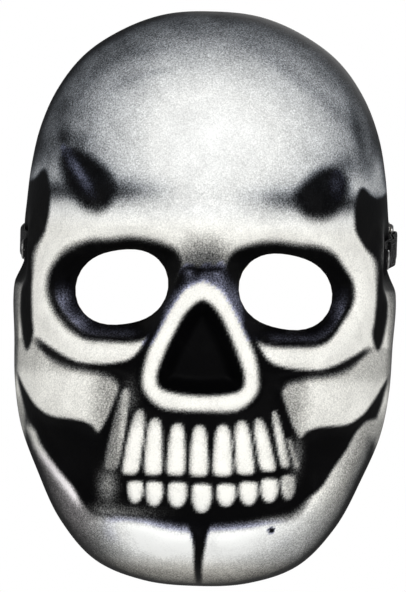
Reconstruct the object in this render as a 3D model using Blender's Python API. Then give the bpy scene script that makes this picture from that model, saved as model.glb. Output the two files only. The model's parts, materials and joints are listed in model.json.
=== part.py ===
"""Latex skull halloween mask with an adjustable elastic head strap.

Frame: +Z up as worn, the face looks along -Y, +X to the right of somebody who
looks at the face.  The origin is midway between the two strap rivets, on the
axis that the strap swings about.  Dimensions are in millimetres and become
metres when a mesh is made.
"""

import math

import bmesh
import bpy
import numpy as np
from mathutils import Matrix, Vector

MM = 0.001

# Mask outline, seen from the front: (x, z) down one side, from crown to chin.
OUTLINE = (
    (0, 110.5), (22, 108.5), (42, 100.5), (57.5, 89.5), (69.5, 73.5), (76.5, 57),
    (80.5, 38), (82.5, 18), (85, 1), (87, -20), (86, -40), (85, -60),
    (81.5, -79.5), (73, -100.5), (61.5, -122.5), (46, -139), (24, -147.5), (0, -149.5),
)
CENTRE_Z = -20.0          # height of the middle of the face
HALF_WIDTH = 87.0
HALF_HEIGHT = 130.0
REAR_Y = 26.0             # flat rear edge of the mask
DEPTH = 88.0              # rear edge to the face, without relief
BULGE_SIDE = 2.1          # roundness of the cross-section: 2 is an ellipse
BULGE_UP = 2.8
BULGE_DOWN = 4.2
WALL = 2.5
GAP = 0.3                 # clearance between touching pieces
PAD_GAP = 0.6

# Mesh of the shell: cells across and up.
CELLS_X = 36
CELLS_Z = 50
RIM_CROWDING = 0.2        # how much closer the grid lines stand at the edge
FRONT_STRETCH = 1.15      # how evenly they stand over the face

# Face relief, right half, (x, z).
SOCKET = (
    (9.5, -3.5), (14, 4.2), (33, 8), (54.5, 2.3), (67.5, -8.5), (67.5, -23.5),
    (55, -37.5), (43, -39.9), (24.5, -38), (16, -23), (11.5, -11),
)
NOSE_SIDE = ((6.5, -26), (11, -34), (15.5, -44), (18.8, -54), (17, -59.5), (9, -61.5))
NOSE_TOP_Z = -21.0
NOSE_FOOT_Z = -62.0
CHEEKBONE = (
    (34.8, -58), (48, -55), (62, -53.5), (76, -46), (84, -42), (82, -56), (79, -62.5),
    (73.5, -69.5), (66, -74), (54, -75.2), (44, -80), (40.5, -74),
)
JAW = (
    (-12, -123), (9, -121.7), (20, -119.3), (40, -115), (54.5, -104), (66.5, -88.5),
    (75, -75.5), (84, -62), (86, -80), (70, -118), (40, -146), (0, -153), (-30, -148),
)
PIT = ((41.5, 30), (50.5, 19), (59, 24), (64.5, 32), (62.5, 44), (54, 43), (46, 37))
SOCKET_DEPTH = 8.0
NOSE_DEPTH = 8.0
CHEEK_HEIGHT = 4.0
JAW_HEIGHT = 4.0
HOLLOW_DEPTH = 3.5
PIT_DEPTH = 3.0
RIM_HEIGHT = 2.6          # raised bone rim round each eye socket
RIDGE_HEIGHT = 3.0        # raised ridge round the nose hollow

# Slopes of the relief: distances inside an outline between which it rises or sinks.
SOCKET_SLOPE = (-1, 9)
NOSE_SLOPE = (-1, 8)
CHEEK_SLOPE = (-5, 4)
JAW_SLOPE = (-4, 6)
PIT_SLOPE = (-3, 7)
RIM_OFFSET = 5            # crest of the rim, outside the socket
RIM_REACH = 7
RIDGE_OFFSET = 4          # crest of the ridge, outside the nose hollow
RIDGE_REACH = 6

# Broad swells and the hollow of each cheek: middle height, spread across, spread up.
NOSE_SWELL = 5.0
NOSE_SWELL_Z = -44
NOSE_SWELL_SPREAD = (25, 36)
MUZZLE_SWELL = 4.5
MUZZLE_SWELL_Z = -93
MUZZLE_SWELL_SPREAD = (40, 27)
HOLLOW_X = 58
HOLLOW_Z = -88
HOLLOW_SPREAD = (15, 14)

# Eye holes: an ellipse, squared a little, leaning outward at the bottom.
EYE_X = 36.3
EYE_Z = -15.8
EYE_HALF_WIDTH = 20.7
EYE_HALF_HEIGHT = 16.5
EYE_SQUARENESS = 0.035
EYE_LEAN = 1.0

# Strap seat: a flat land on each side wall, round the rivet.
SEAT_X = 80.0
SEAT_FLAT = 15.0
SEAT_BLEND = 32.0
SEAT_FRONT_SCALE = 1.3    # how soon the land ends ahead of the rivet
SEAT_REAR_SCALE = 0.85    # behind it
SEAT_Z_SCALE = 1.5        # above and below it

# Strap.
BAND_WIDTH = 12.5
BAND_THICKNESS = 1.2
BAND_TIP = 6.5            # strap end ahead of the rivet
BAND_RISE_S = 9.5         # where the strap leaves the seat, behind the rivet
RIM_S = 25.5              # where it passes the rear edge of the mask
STRAP_SLOPE = math.radians(10)
RIM_CROSSING_X = 83.6     # inner face of the strap where it passes the rear edge
RUN_S = 28.0              # start of the straight run beside the head
RUN_LENGTH = 80.0
RUN_LEAN = math.radians(8.5)   # the run closes in on the head
BACK_S = 166.0            # rivet axis to the back of the strap
BACK_PULL = 36.0          # roundness of the bend behind the head
PLY_GAP = 0.4

# Rivets.
HOLE_RADIUS = 1.9
SHANK_RADIUS = 1.6
BORE_RADIUS = 1.05
PIN_RADIUS = 0.75
CAP_RADIUS = 4.5
CAP_HEIGHT = 1.4
FLANGE_THICKNESS = 0.9
WASHER_RADIUS = 6.0
WASHER_THICKNESS = 0.6
PATCH_RADIUS = 8.0
PATCH_THICKNESS = 0.8

# Ring and adjuster.
RING_A = 18.0             # middle of the ring, along the straight run
RING_HALF_LENGTH = 4.2    # centre line, along the strap
RING_HALF_WIDTH = 8.3     # centre line, across the strap
RING_WIRE = 1.2
RING_CORNER = 2.2
TAB_END_S = 13.0          # where the folded tab is sewn down
TAIL_END_A = 77.0
GLIDE_A = 49.0
GLIDE_LENGTH = 15.0
GLIDE_WIDTH = 18.5
GLIDE_BAR = 1.3
GLIDE_CENTRE_BAR = 4.4
GLIDE_END_BAR = 3.2
STITCH_THICKNESS = 0.5

# Foam pads: ranges of shell grid cells, (first, last) across and up.
PADS = {
    "forehead_pad": ((8, 28), (36, 41), 7.0),
    "left_cheek_pad": ((4, 7), (15, 20), 6.0),
    "right_cheek_pad": ((29, 32), (15, 20), 6.0),
}


# ---------------------------------------------------------------- helpers

def smooth_step(low, high, value):
    """0 below low, 1 above high, an even rise between them."""
    t = np.clip((value - low) / (high - low), 0.0, 1.0)
    return t * t * (3 - 2 * t)


def hump(distance, half_width):
    """A round ridge, 1 on its crest and 0 beyond its half width."""
    return 0.5 + 0.5 * np.cos(np.pi * np.clip(distance / half_width, -1, 1))


def cubic_through(knots, values, at):
    """A smooth curve through the values, level at both ends."""
    knots, values = np.asarray(knots, float), np.asarray(values, float)
    slopes = np.gradient(values, knots)
    slopes[0] = slopes[-1] = 0.0
    i = np.clip(np.searchsorted(knots, at) - 1, 0, len(knots) - 2)
    span = knots[i + 1] - knots[i]
    t = np.clip((at - knots[i]) / span, 0.0, 1.0)
    return (values[i] * (1 + 2 * t) * (1 - t) ** 2 + slopes[i] * span * t * (1 - t) ** 2
            + values[i + 1] * t * t * (3 - 2 * t) + slopes[i + 1] * span * t * t * (t - 1))


def closed_curve(corners, steps=5):
    """Points along a smooth closed curve through the corners."""
    p0 = np.array(corners, float)
    before, after, beyond = np.roll(p0, 1, 0), np.roll(p0, -1, 0), np.roll(p0, -2, 0)
    rows = []
    for t in np.arange(steps) / steps:
        rows.append((2 * p0 + (after - before) * t
                     + (2 * before - 5 * p0 + 4 * after - beyond) * t * t
                     + (3 * p0 - before - 3 * after + beyond) * t ** 3) / 2)
    return np.stack(rows, 1).reshape(-1, 2)


def inside_distance(curve, x, z):
    """Distance to a closed curve, positive inside it."""
    start, end = curve, np.roll(curve, -1, 0)
    edge = end - start
    point = np.stack([x, z], -1)[..., None, :]
    along = np.clip(((point - start) * edge).sum(-1) / (edge ** 2).sum(-1), 0, 1)
    away = point - start - along[..., None] * edge
    distance = np.sqrt((away ** 2).sum(-1)).min(-1)
    px, pz = point[..., 0], point[..., 1]
    rise = np.where(edge[:, 1] == 0, 1e-9, edge[:, 1])
    crossed = ((start[:, 1] > pz) != (end[:, 1] > pz)) & (
        px < start[:, 0] + edge[:, 0] * (pz - start[:, 1]) / rise)
    return np.where(crossed.sum(-1) % 2 == 1, distance, -distance)


# ------------------------------------------------------------- shell shape

def outline_radius(angle):
    """Distance from the middle of the face to the outline, at an angle."""
    points = np.array(OUTLINE[::-1], float)
    angles = np.arctan2(points[:, 1] - CENTRE_Z, points[:, 0])
    radii = np.hypot(points[:, 0], points[:, 1] - CENTRE_Z)
    folded = np.arctan2(np.sin(angle), np.abs(np.cos(angle)))
    return cubic_through(angles, radii, folded)


def hollows(x, z):
    """Broad relief that the inside of the mask follows too; outward is positive."""
    ax = np.abs(x)
    nose = inside_distance(closed_curve(nose_outline()), x, z)
    socket = inside_distance(closed_curve(SOCKET), ax, z)
    cheek = inside_distance(closed_curve(CHEEKBONE), ax, z)
    jaw = inside_distance(closed_curve(JAW), ax, z)
    pit = inside_distance(closed_curve(PIT), ax, z)
    height = NOSE_SWELL * fall_off(ax, z - NOSE_SWELL_Z, NOSE_SWELL_SPREAD, 2)
    height += MUZZLE_SWELL * fall_off(ax, z - MUZZLE_SWELL_Z, MUZZLE_SWELL_SPREAD, 4)
    height -= SOCKET_DEPTH * smooth_step(*SOCKET_SLOPE, socket)
    height -= NOSE_DEPTH * smooth_step(*NOSE_SLOPE, nose)
    height += CHEEK_HEIGHT * smooth_step(*CHEEK_SLOPE, cheek)
    height += JAW_HEIGHT * smooth_step(*JAW_SLOPE, jaw)
    height -= HOLLOW_DEPTH * fall_off(ax - HOLLOW_X, z - HOLLOW_Z, HOLLOW_SPREAD, 2)
    height -= PIT_DEPTH * smooth_step(*PIT_SLOPE, pit)
    return height


def fall_off(across, up, spread, power):
    """One in the middle, falling to nothing over the spread."""
    return np.exp(-(across / spread[0]) ** power - (up / spread[1]) ** power)


def ridges(x, z):
    """Raised bone rims, where the latex is thicker."""
    ax = np.abs(x)
    socket = inside_distance(closed_curve(SOCKET), ax, z)
    nose = inside_distance(closed_curve(nose_outline()), x, z)
    rim = RIM_HEIGHT * hump(socket + RIM_OFFSET, RIM_REACH)
    return np.maximum(rim, RIDGE_HEIGHT * hump(nose + RIDGE_OFFSET, RIDGE_REACH))


def nose_outline():
    right = ((0, NOSE_TOP_Z),) + NOSE_SIDE
    left = tuple((-x, z) for x, z in reversed(NOSE_SIDE))
    return right + ((0, NOSE_FOOT_Z),) + left


def disc_point(a, b):
    """Radius and angle, on the face, of a point of the square grid."""
    flat_x = a * np.sqrt(1 - b * b / 2)
    flat_z = b * np.sqrt(1 - a * a / 2)
    radius = np.clip(np.hypot(flat_x, flat_z), 0, 1)
    angle = np.arctan2(HALF_HEIGHT * flat_z, HALF_WIDTH * flat_x)
    power = FRONT_STRETCH / (FRONT_STRETCH - 1)
    return FRONT_STRETCH * radius - (FRONT_STRETCH - 1) * radius ** power, angle


def surface_y(x, z, relief_at):
    """Depth of the surface over a point of the face, with a relief of (x, z)."""
    angle = np.arctan2(z - CENTRE_Z, x)
    u = np.clip(np.hypot(x, z - CENTRE_Z) / outline_radius(angle), 0, 1)
    lift = np.sin(angle) ** 2
    bulge = BULGE_SIDE + lift * np.where(np.sin(angle) > 0, BULGE_UP - BULGE_SIDE,
                                         BULGE_DOWN - BULGE_SIDE)
    y = REAR_Y - DEPTH * np.clip(1 - u ** bulge, 0, 1) ** (1 / bulge)
    return y - relief_at(x, z) * (1 - smooth_step(0.90, 0.985, u))


def shell_surface(a, b, relief_at):
    """Points of a surface for grid values from -1 to 1."""
    u, angle = disc_point(a, b)
    reach = outline_radius(angle) * u
    x, z = reach * np.cos(angle), CENTRE_Z + reach * np.sin(angle)
    y = surface_y(x, z, relief_at)
    along = y * np.where(y < 0, SEAT_FRONT_SCALE, SEAT_REAR_SCALE)
    flatness = 1 - smooth_step(SEAT_FLAT, SEAT_BLEND, np.hypot(along, SEAT_Z_SCALE * z))
    flatness = flatness * (np.abs(x) > HALF_WIDTH / 2)
    x = x + flatness * (np.sign(x) * SEAT_X - x)
    return np.stack([x, y, z], -1)


def full_relief(x, z):
    return hollows(x, z) + ridges(x, z)


def no_relief(x, z):
    return 0 * x


def grid_normals(points):
    """Outward normals of a grid of points, rows running up and columns across."""
    across = np.gradient(points, axis=1)
    up = np.gradient(points, axis=0)
    normal = np.cross(across, up)
    return normal / np.linalg.norm(normal, axis=-1, keepdims=True)


def shell_grids():
    """Outer and inner surface points of the shell, and the grid values."""
    t_x, t_z = np.linspace(-1, 1, CELLS_X + 1), np.linspace(-1, 1, CELLS_Z + 1)
    crowd = 1 + RIM_CROWDING
    a, b = np.meshgrid(t_x * (crowd - RIM_CROWDING * t_x ** 2),
                       t_z * (crowd - RIM_CROWDING * t_z ** 2))
    outer = shell_surface(a, b, full_relief)
    plain = shell_surface(a, b, hollows)
    inner = plain - WALL * grid_normals(shell_surface(a, b, no_relief))
    edge = np.zeros(a.shape, bool)
    edge[0], edge[-1], edge[:, 0], edge[:, -1] = True, True, True, True
    radial = plain[edge] * (1, 0, 1) - (0, 0, CENTRE_Z)
    radial /= np.linalg.norm(radial, axis=-1, keepdims=True)
    inner[edge] = plain[edge] - WALL * radial
    outer[edge, 1] = inner[edge, 1] = REAR_Y
    inner[..., 1] = np.minimum(inner[..., 1], REAR_Y)
    return outer, inner


def eye_radius(angle):
    """Radius of the right eye hole, at an angle from its outer side."""
    ellipse = EYE_HALF_WIDTH * EYE_HALF_HEIGHT / np.hypot(
        EYE_HALF_HEIGHT * np.cos(angle), EYE_HALF_WIDTH * np.sin(angle))
    squared = ellipse * (1 + EYE_SQUARENESS * np.sin(2 * angle) ** 2)
    return squared - EYE_LEAN * np.sin(2 * angle)


# --------------------------------------------------------- objects, materials

def material(name, colour, roughness, metallic=0.0):
    made = bpy.data.materials.new(name)
    made.use_nodes = True
    shader = made.node_tree.nodes["Principled BSDF"]
    shader.inputs["Base Color"].default_value = (*colour, 1)
    shader.inputs["Roughness"].default_value = roughness
    shader.inputs["Metallic"].default_value = metallic
    return made


def add_object(name, mesh, finish, parent=None):
    mesh.name = name
    mesh.materials.append(finish)
    made = bpy.data.objects.new(name, mesh)
    bpy.context.scene.collection.objects.link(made)
    if parent is not None:
        made.parent = parent
        made.matrix_parent_inverse = parent.matrix_basis.inverted()
    return made


def mesh_from(bm, smooth_angle=None):
    bmesh.ops.recalc_face_normals(bm, faces=bm.faces)
    mesh = bpy.data.meshes.new("mesh")
    bm.to_mesh(mesh)
    bm.free()
    if smooth_angle is not None:
        mesh.shade_smooth()
        mesh.set_sharp_from_angle(angle=smooth_angle)
    return mesh


def box_between(low, high):
    """A closed box from one corner to the other, in millimetres."""
    bm = bmesh.new()
    size = Vector(high) - Vector(low)
    middle = (Vector(high) + Vector(low)) / 2
    bmesh.ops.create_cube(bm, size=1, matrix=Matrix.Translation(middle * MM)
                          @ Matrix.Diagonal((*(size * MM), 1)))
    return bm


def turned(profile, sides=32):
    """A solid turned about +X from (x, radius) points that start and end on the axis
    or make a closed loop."""
    bm = bmesh.new()
    on_axis = profile[0][1] == 0
    points = [bm.verts.new((x * MM, 0, r * MM)) for x, r in profile]
    edges = [bm.edges.new(pair) for pair in zip(points, points[1:])]
    if not on_axis:
        edges.append(bm.edges.new((points[-1], points[0])))
    bmesh.ops.spin(bm, geom=points + edges, cent=(0, 0, 0), axis=(1, 0, 0),
                   angle=2 * math.pi, steps=sides, use_merge=True)
    bmesh.ops.remove_doubles(bm, verts=bm.verts, dist=1e-6)
    return bm


def ribbon(centre_line, width, thickness):
    """A flat strip whose centre line is (s, x) points in the strap plane."""
    line = np.array(centre_line, float)
    tangent = np.gradient(line, axis=0)
    tangent /= np.linalg.norm(tangent, axis=1, keepdims=True)
    side = np.stack([-tangent[:, 1], tangent[:, 0]], 1) * thickness / 2
    bm = bmesh.new()
    rings = []
    for point, offset in zip(line, side):
        corners = ((offset, -1), (offset, 1), (-offset, 1), (-offset, -1))
        rings.append([bm.verts.new(((point[1] + o[1]) * MM, (point[0] + o[0]) * MM,
                                    w * width / 2 * MM)) for o, w in corners])
    for one, two in zip(rings, rings[1:]):
        for k in range(4):
            bm.faces.new((one[k], one[(k + 1) % 4], two[(k + 1) % 4], two[k]))
    bm.faces.new(rings[0][::-1])
    bm.faces.new(rings[-1])
    return bm


def cut(target, cutter_bm):
    """Subtract a solid from an object, as a live Boolean modifier."""
    cutter = bpy.data.objects.new(target.name + "_cutter", mesh_from(cutter_bm))
    bpy.context.scene.collection.objects.link(cutter)
    cutter.hide_render = True
    cutter.display_type = "WIRE"
    cutter.parent = target.parent
    if target.parent is not None:
        cutter.matrix_parent_inverse = target.parent.matrix_basis.inverted()
    modifier = target.modifiers.new("cut", "BOOLEAN")
    modifier.operation = "DIFFERENCE"
    modifier.object = cutter


# ------------------------------------------------------------------- the mask

def make_shell(finish):
    outer, inner = shell_grids()
    rows, columns = outer.shape[:2]
    bm = bmesh.new()
    skins = []
    for grid in (outer, inner):
        skins.append([[bm.verts.new(tuple(grid[j, i] * MM)) for i in range(columns)]
                      for j in range(rows)])
    front, back = skins

    def in_eye(j, i):
        x, z = np.abs(outer[j, i, 0]) - EYE_X, outer[j, i, 2] - EYE_Z
        return np.hypot(x, z) < eye_radius(np.arctan2(z, x))

    kept = {}
    for j in range(rows - 1):
        for i in range(columns - 1):
            cell = ((j, i), (j, i + 1), (j + 1, i + 1), (j + 1, i))
            if sum(in_eye(*corner) for corner in cell) >= 2:
                continue
            kept[j, i] = cell
            bm.faces.new([front[r][c] for r, c in cell])
            bm.faces.new([back[r][c] for r, c in reversed(cell)])
    open_edges = {}
    for cell in kept.values():
        for k in range(4):
            pair = (cell[k], cell[(k + 1) % 4])
            key = frozenset(pair)
            if key in open_edges:
                del open_edges[key]
            else:
                open_edges[key] = pair
    for start, end in open_edges.values():
        bm.faces.new((front[end[0]][end[1]], front[start[0]][start[1]],
                      back[start[0]][start[1]], back[end[0]][end[1]]))
        for r, c in (start, end):
            near_rim = r in (0, rows - 1) or c in (0, columns - 1)
            if near_rim:
                continue
            x, _, z = outer[r, c]
            dx, dz = abs(x) - EYE_X, z - EYE_Z
            angle = math.atan2(dz, dx)
            radius = float(eye_radius(angle))
            x = math.copysign(EYE_X + radius * math.cos(angle), x)
            z = EYE_Z + radius * math.sin(angle)
            place = np.array([x]), np.array([z])
            front[r][c].co = Vector((x, surface_y(*place, full_relief)[0], z)) * MM
            back[r][c].co = Vector((x, surface_y(*place, hollows)[0] + WALL, z)) * MM
    for vert in [v for v in bm.verts if not v.link_faces]:
        bm.verts.remove(vert)
    shell = add_object("mask_shell", mesh_from(bm, math.radians(50)), finish)
    hole = turned([(-HALF_WIDTH - 5, 0), (-HALF_WIDTH - 5, HOLE_RADIUS),
                   (HALF_WIDTH + 5, HOLE_RADIUS), (HALF_WIDTH + 5, 0)], 16)
    cut(shell, hole)
    return outer, inner


def make_pad(name, inner, columns, rows, thickness, finish):
    """A foam pad that follows the inside of the shell, thinner at its edges."""
    (c0, c1), (r0, r1) = columns, rows
    patch = inner[r0:r1 + 1, c0:c1 + 1]
    inward = -grid_normals(inner)[r0:r1 + 1, c0:c1 + 1]
    rise_x = np.sin(np.linspace(0, math.pi, c1 - c0 + 1))[None, :]
    rise_z = np.sin(np.linspace(0, math.pi, r1 - r0 + 1))[:, None]
    fullness = 0.45 + 0.55 * (rise_x * rise_z) ** 0.4
    face = patch + inward * PAD_GAP
    back = patch + inward * (PAD_GAP + thickness * fullness[..., None])
    bm = bmesh.new()
    sheets = [[[bm.verts.new(tuple(p * MM)) for p in row] for row in grid]
              for grid in (face, back)]
    height, width = len(sheets[0]), len(sheets[0][0])
    for j in range(height - 1):
        for i in range(width - 1):
            for sheet in sheets:
                bm.faces.new((sheet[j][i], sheet[j][i + 1], sheet[j + 1][i + 1],
                              sheet[j + 1][i]))
    loop = ([(0, i) for i in range(width)] + [(j, width - 1) for j in range(1, height)]
            + [(height - 1, i) for i in range(width - 2, -1, -1)]
            + [(j, 0) for j in range(height - 2, 0, -1)])
    for start, end in zip(loop, loop[1:] + loop[:1]):
        bm.faces.new((sheets[0][start[0]][start[1]], sheets[0][end[0]][end[1]],
                      sheets[1][end[0]][end[1]], sheets[1][start[0]][start[1]]))
    add_object(name, mesh_from(bm, math.radians(50)), finish)


def make_rivet(side, prefix, metal, cloth):
    """Cap with a tubular shank outside, flange with a pin inside, washer and patch."""
    head_x = SEAT_X + GAP + BAND_THICKNESS + GAP
    wall_x = SEAT_X - WALL
    patch_x = wall_x - GAP
    washer_x = patch_x - PATCH_THICKNESS - GAP
    flange_x = washer_x - WASHER_THICKNESS - GAP
    shank_end = flange_x + GAP
    cap = [(shank_end, BORE_RADIUS), (shank_end, SHANK_RADIUS), (head_x, SHANK_RADIUS),
           (head_x, CAP_RADIUS), (head_x + 0.45 * CAP_HEIGHT, 0.97 * CAP_RADIUS),
           (head_x + 0.8 * CAP_HEIGHT, 0.7 * CAP_RADIUS), (head_x + CAP_HEIGHT, 0)]
    cap = [(head_x, 0), (head_x, BORE_RADIUS)] + cap
    flange = [(flange_x - FLANGE_THICKNESS, 0), (flange_x - FLANGE_THICKNESS, CAP_RADIUS - 0.4),
              (flange_x - 0.5 * FLANGE_THICKNESS, CAP_RADIUS), (flange_x, CAP_RADIUS),
              (flange_x, PIN_RADIUS), (head_x - 0.5, PIN_RADIUS), (head_x - 0.5, 0)]
    washer = [(washer_x, HOLE_RADIUS), (washer_x, WASHER_RADIUS),
              (washer_x - WASHER_THICKNESS, WASHER_RADIUS),
              (washer_x - WASHER_THICKNESS, HOLE_RADIUS)]
    patch = [(patch_x, HOLE_RADIUS), (patch_x, PATCH_RADIUS),
             (patch_x - PATCH_THICKNESS, PATCH_RADIUS), (patch_x - PATCH_THICKNESS, HOLE_RADIUS)]
    pieces = ((prefix + "_rivet_cap", cap, metal), (prefix + "_rivet_post", flange, metal),
              (prefix + "_washer", washer, metal), (prefix + "_anchor_patch", patch, cloth))
    for name, profile, finish in pieces:
        bm = turned([(side * x, r) for x, r in profile], 24)
        add_object(name, mesh_from(bm, math.radians(40)), finish)


# ------------------------------------------------------------------ the strap

def arc_points(centre, radius, start, end, steps):
    """Points of an arc, angles in degrees from the first axis."""
    angles = np.radians(np.linspace(start, end, steps + 1))
    return [(centre[0] + radius * math.cos(t), centre[1] + radius * math.sin(t))
            for t in angles]


def rise_points(s0, x0, s1, x1, steps):
    """An even S-shaped step from one line to another."""
    return [(s0 + (s1 - s0) * k / steps,
             x0 + (x1 - x0) * float(smooth_step(0, 1, np.float64(k / steps))))
            for k in range(steps + 1)]


def on_run(points):
    """(s, x) of (along, out) points on the straight run beside the head."""
    cos, sin = math.cos(RUN_LEAN), math.sin(RUN_LEAN)
    return [(RUN_S + a * cos + o * sin, RIM_CROSSING_X - a * sin + o * cos)
            for a, o in points]


def head_bend(steps):
    """Half of the bend round the back of the head, from the end of the straight run."""
    (s0, x0), = on_run([(RUN_LENGTH, BAND_THICKNESS / 2)])
    pull = BACK_PULL
    corners = [(s0, x0), (s0 + pull * math.cos(RUN_LEAN), x0 - pull * math.sin(RUN_LEAN)),
               (BACK_S, pull), (BACK_S, 0)]
    points = []
    for t in np.linspace(0, 1, steps + 1):
        weights = ((1 - t) ** 3, 3 * t * (1 - t) ** 2, 3 * t * t * (1 - t), t ** 3)
        points.append(tuple(sum(w * c[k] for w, c in zip(weights, corners)) for k in (0, 1)))
    return points


def seat_points():
    """From the strap's front end, over the rivet and out to the rear edge of the mask."""
    half = BAND_THICKNESS / 2
    seat, rim = SEAT_X + GAP + half, RIM_CROSSING_X + half
    flat = [(-BAND_TIP, seat), (0, seat), (BAND_RISE_S - 1, seat)]
    return flat + rise_points(BAND_RISE_S, seat, RIM_S, rim, 8)


def band_line():
    """Centre line of the elastic, from the left rivet round the head to its free tail."""
    half = BAND_THICKNESS / 2
    left = seat_points() + on_run([(3, half), (RUN_LENGTH / 2, half)]) + head_bend(20)
    line = [(s, -x) for s, x in left] + head_bend(20)[-2::-1]
    ring_rear = RING_A + RING_HALF_LENGTH
    bend = RING_WIRE + GAP + half
    outer = half + BAND_THICKNESS + PLY_GAP
    line += on_run([(RUN_LENGTH / 2, half)])
    line += on_run(arc_points((ring_rear, half + bend), bend, 270, 90, 8))
    line += on_run(rise_points(ring_rear - 1, half + 2 * bend, ring_rear + 9, outer, 6)[1:])
    return line + on_run([(RUN_LENGTH / 2, outer), (TAIL_END_A, outer)])


def tab_line():
    """Centre line of the folded tab, from the right rivet round the ring and back."""
    half = BAND_THICKNESS / 2
    ring_front = RING_A - RING_HALF_LENGTH
    bend = RING_WIRE + GAP + half
    ply = BAND_THICKNESS + PLY_GAP
    line = seat_points() + on_run([(3, half)])
    line += on_run(arc_points((ring_front, half + bend), bend, -90, 90, 8))
    line += on_run(rise_points(3, half + ply, ring_front - 1, half + 2 * bend, 5)[::-1])
    back = rise_points(BAND_RISE_S - 0.4, SEAT_X + GAP + half + ply,
                       RIM_S - 0.6, RIM_CROSSING_X + half + ply, 8)
    return line + [point for point in back[::-1] if point[0] > TAB_END_S]


def make_ring(name, finish, parent):
    """Rectangular wire ring in the plane of the strap's flat."""
    path = []
    inner_a, inner_w = RING_HALF_LENGTH - RING_CORNER, RING_HALF_WIDTH - RING_CORNER
    out = BAND_THICKNESS + GAP + RING_WIRE
    for corner, (da, dw) in enumerate(((1, 1), (-1, 1), (-1, -1), (1, -1))):
        for a, w in arc_points((RING_A + da * inner_a, dw * inner_w), RING_CORNER,
                               90 * corner, 90 * corner + 90, 4):
            path.append((out, a, w))
    curve = bpy.data.curves.new(name, "CURVE")
    curve.dimensions = "3D"
    curve.bevel_depth = RING_WIRE * MM
    curve.bevel_resolution = 2
    spline = curve.splines.new("POLY")
    spline.points.add(len(path) - 1)
    for point, place in zip(spline.points, path):
        point.co = (*(Vector(place) * MM), 1)
    spline.use_cyclic_u = True
    curve.materials.append(finish)
    made = bpy.data.objects.new(name, curve)
    bpy.context.scene.collection.objects.link(made)
    made.parent = parent


def make_glide(finish, parent):
    """Three-bar adjuster: end bars inside the two plies, centre bar outside them."""
    low = -GAP - GLIDE_BAR
    high = 2 * BAND_THICKNESS + PLY_GAP + GAP + GLIDE_BAR
    half_l, half_w = GLIDE_LENGTH / 2, GLIDE_WIDTH / 2
    channel = BAND_WIDTH / 2 + GAP
    body = box_between((low, GLIDE_A - half_l, -half_w), (high, GLIDE_A + half_l, half_w))
    glide = add_object("tri_glide", mesh_from(body), finish, parent)
    cut(glide, box_between((low + GLIDE_BAR, GLIDE_A - half_l - 1, -channel),
                           (high - GLIDE_BAR, GLIDE_A + half_l + 1, channel)))
    cut(glide, box_between((low - 1, GLIDE_A - half_l + GLIDE_END_BAR, -channel),
                           (low + GLIDE_BAR + 1, GLIDE_A + half_l - GLIDE_END_BAR, channel)))
    for sign in (-1, 1):
        near, far = sign * GLIDE_CENTRE_BAR / 2, sign * (half_l + 1)
        cut(glide, box_between((high - GLIDE_BAR - 1, GLIDE_A + min(near, far), -channel),
                               (high + 1, GLIDE_A + max(near, far), channel)))
    bevel = glide.modifiers.new("soft_edges", "BEVEL")
    bevel.width = 0.35 * MM
    bevel.segments = 1
    bevel.limit_method = "ANGLE"
    bevel.angle_limit = math.radians(40)


def make_strap(elastic, plastic, metal, thread):
    """The strap turns about the rivets, so its parts hang from an empty on that axis."""
    axis = bpy.data.objects.new("strap_axis", None)
    run = bpy.data.objects.new("straight_run", None)
    for empty in (axis, run):
        bpy.context.scene.collection.objects.link(empty)
    hole = ((-HALF_WIDTH - 5, 0), (-HALF_WIDTH - 5, HOLE_RADIUS), (HALF_WIDTH + 5, HOLE_RADIUS),
            (HALF_WIDTH + 5, 0))
    for name, line in (("elastic_band", band_line()), ("ring_tab", tab_line())):
        piece = add_object(name, mesh_from(ribbon(line, BAND_WIDTH, BAND_THICKNESS)),
                           elastic, axis)
        cut(piece, turned(list(hole), 16))
    make_ring("band_ring", metal, run)
    make_glide(plastic, run)
    outer = 2 * BAND_THICKNESS + PLY_GAP + GAP
    reach = BAND_WIDTH / 2 - 1
    tack = box_between((outer, TAIL_END_A - 5, -reach),
                       (outer + STITCH_THICKNESS, TAIL_END_A - 3, reach))
    add_object("tail_bar_tack", mesh_from(tack), thread, run)
    run.parent = axis
    run.location = Vector((RIM_CROSSING_X, RUN_S, 0)) * MM
    run.rotation_euler = (0, 0, RUN_LEAN)
    axis.rotation_euler = (STRAP_SLOPE, 0, 0)


def main():
    for old in list(bpy.data.objects):
        bpy.data.objects.remove(old, do_unlink=True)
    latex = material("latex", (0.78, 0.78, 0.75), 0.45)
    foam = material("foam", (0.05, 0.05, 0.055), 0.95)
    elastic = material("elastic", (0.012, 0.012, 0.014), 0.8)
    cloth = material("patch_cloth", (0.03, 0.03, 0.035), 0.9)
    metal = material("nickel", (0.55, 0.54, 0.52), 0.3, 1.0)
    plastic = material("black_plastic", (0.015, 0.015, 0.017), 0.4)
    thread = material("thread", (0.02, 0.02, 0.022), 0.85)
    outer, inner = make_shell(latex)
    for name, (columns, rows, thickness) in PADS.items():
        make_pad(name, inner, columns, rows, thickness, foam)
    make_rivet(1, "right", metal, cloth)
    make_rivet(-1, "left", metal, cloth)
    make_strap(elastic, plastic, metal, thread)


main()
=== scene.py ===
import json
import math

import bmesh
import bpy
import numpy as np
from mathutils import Matrix, Vector

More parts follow.
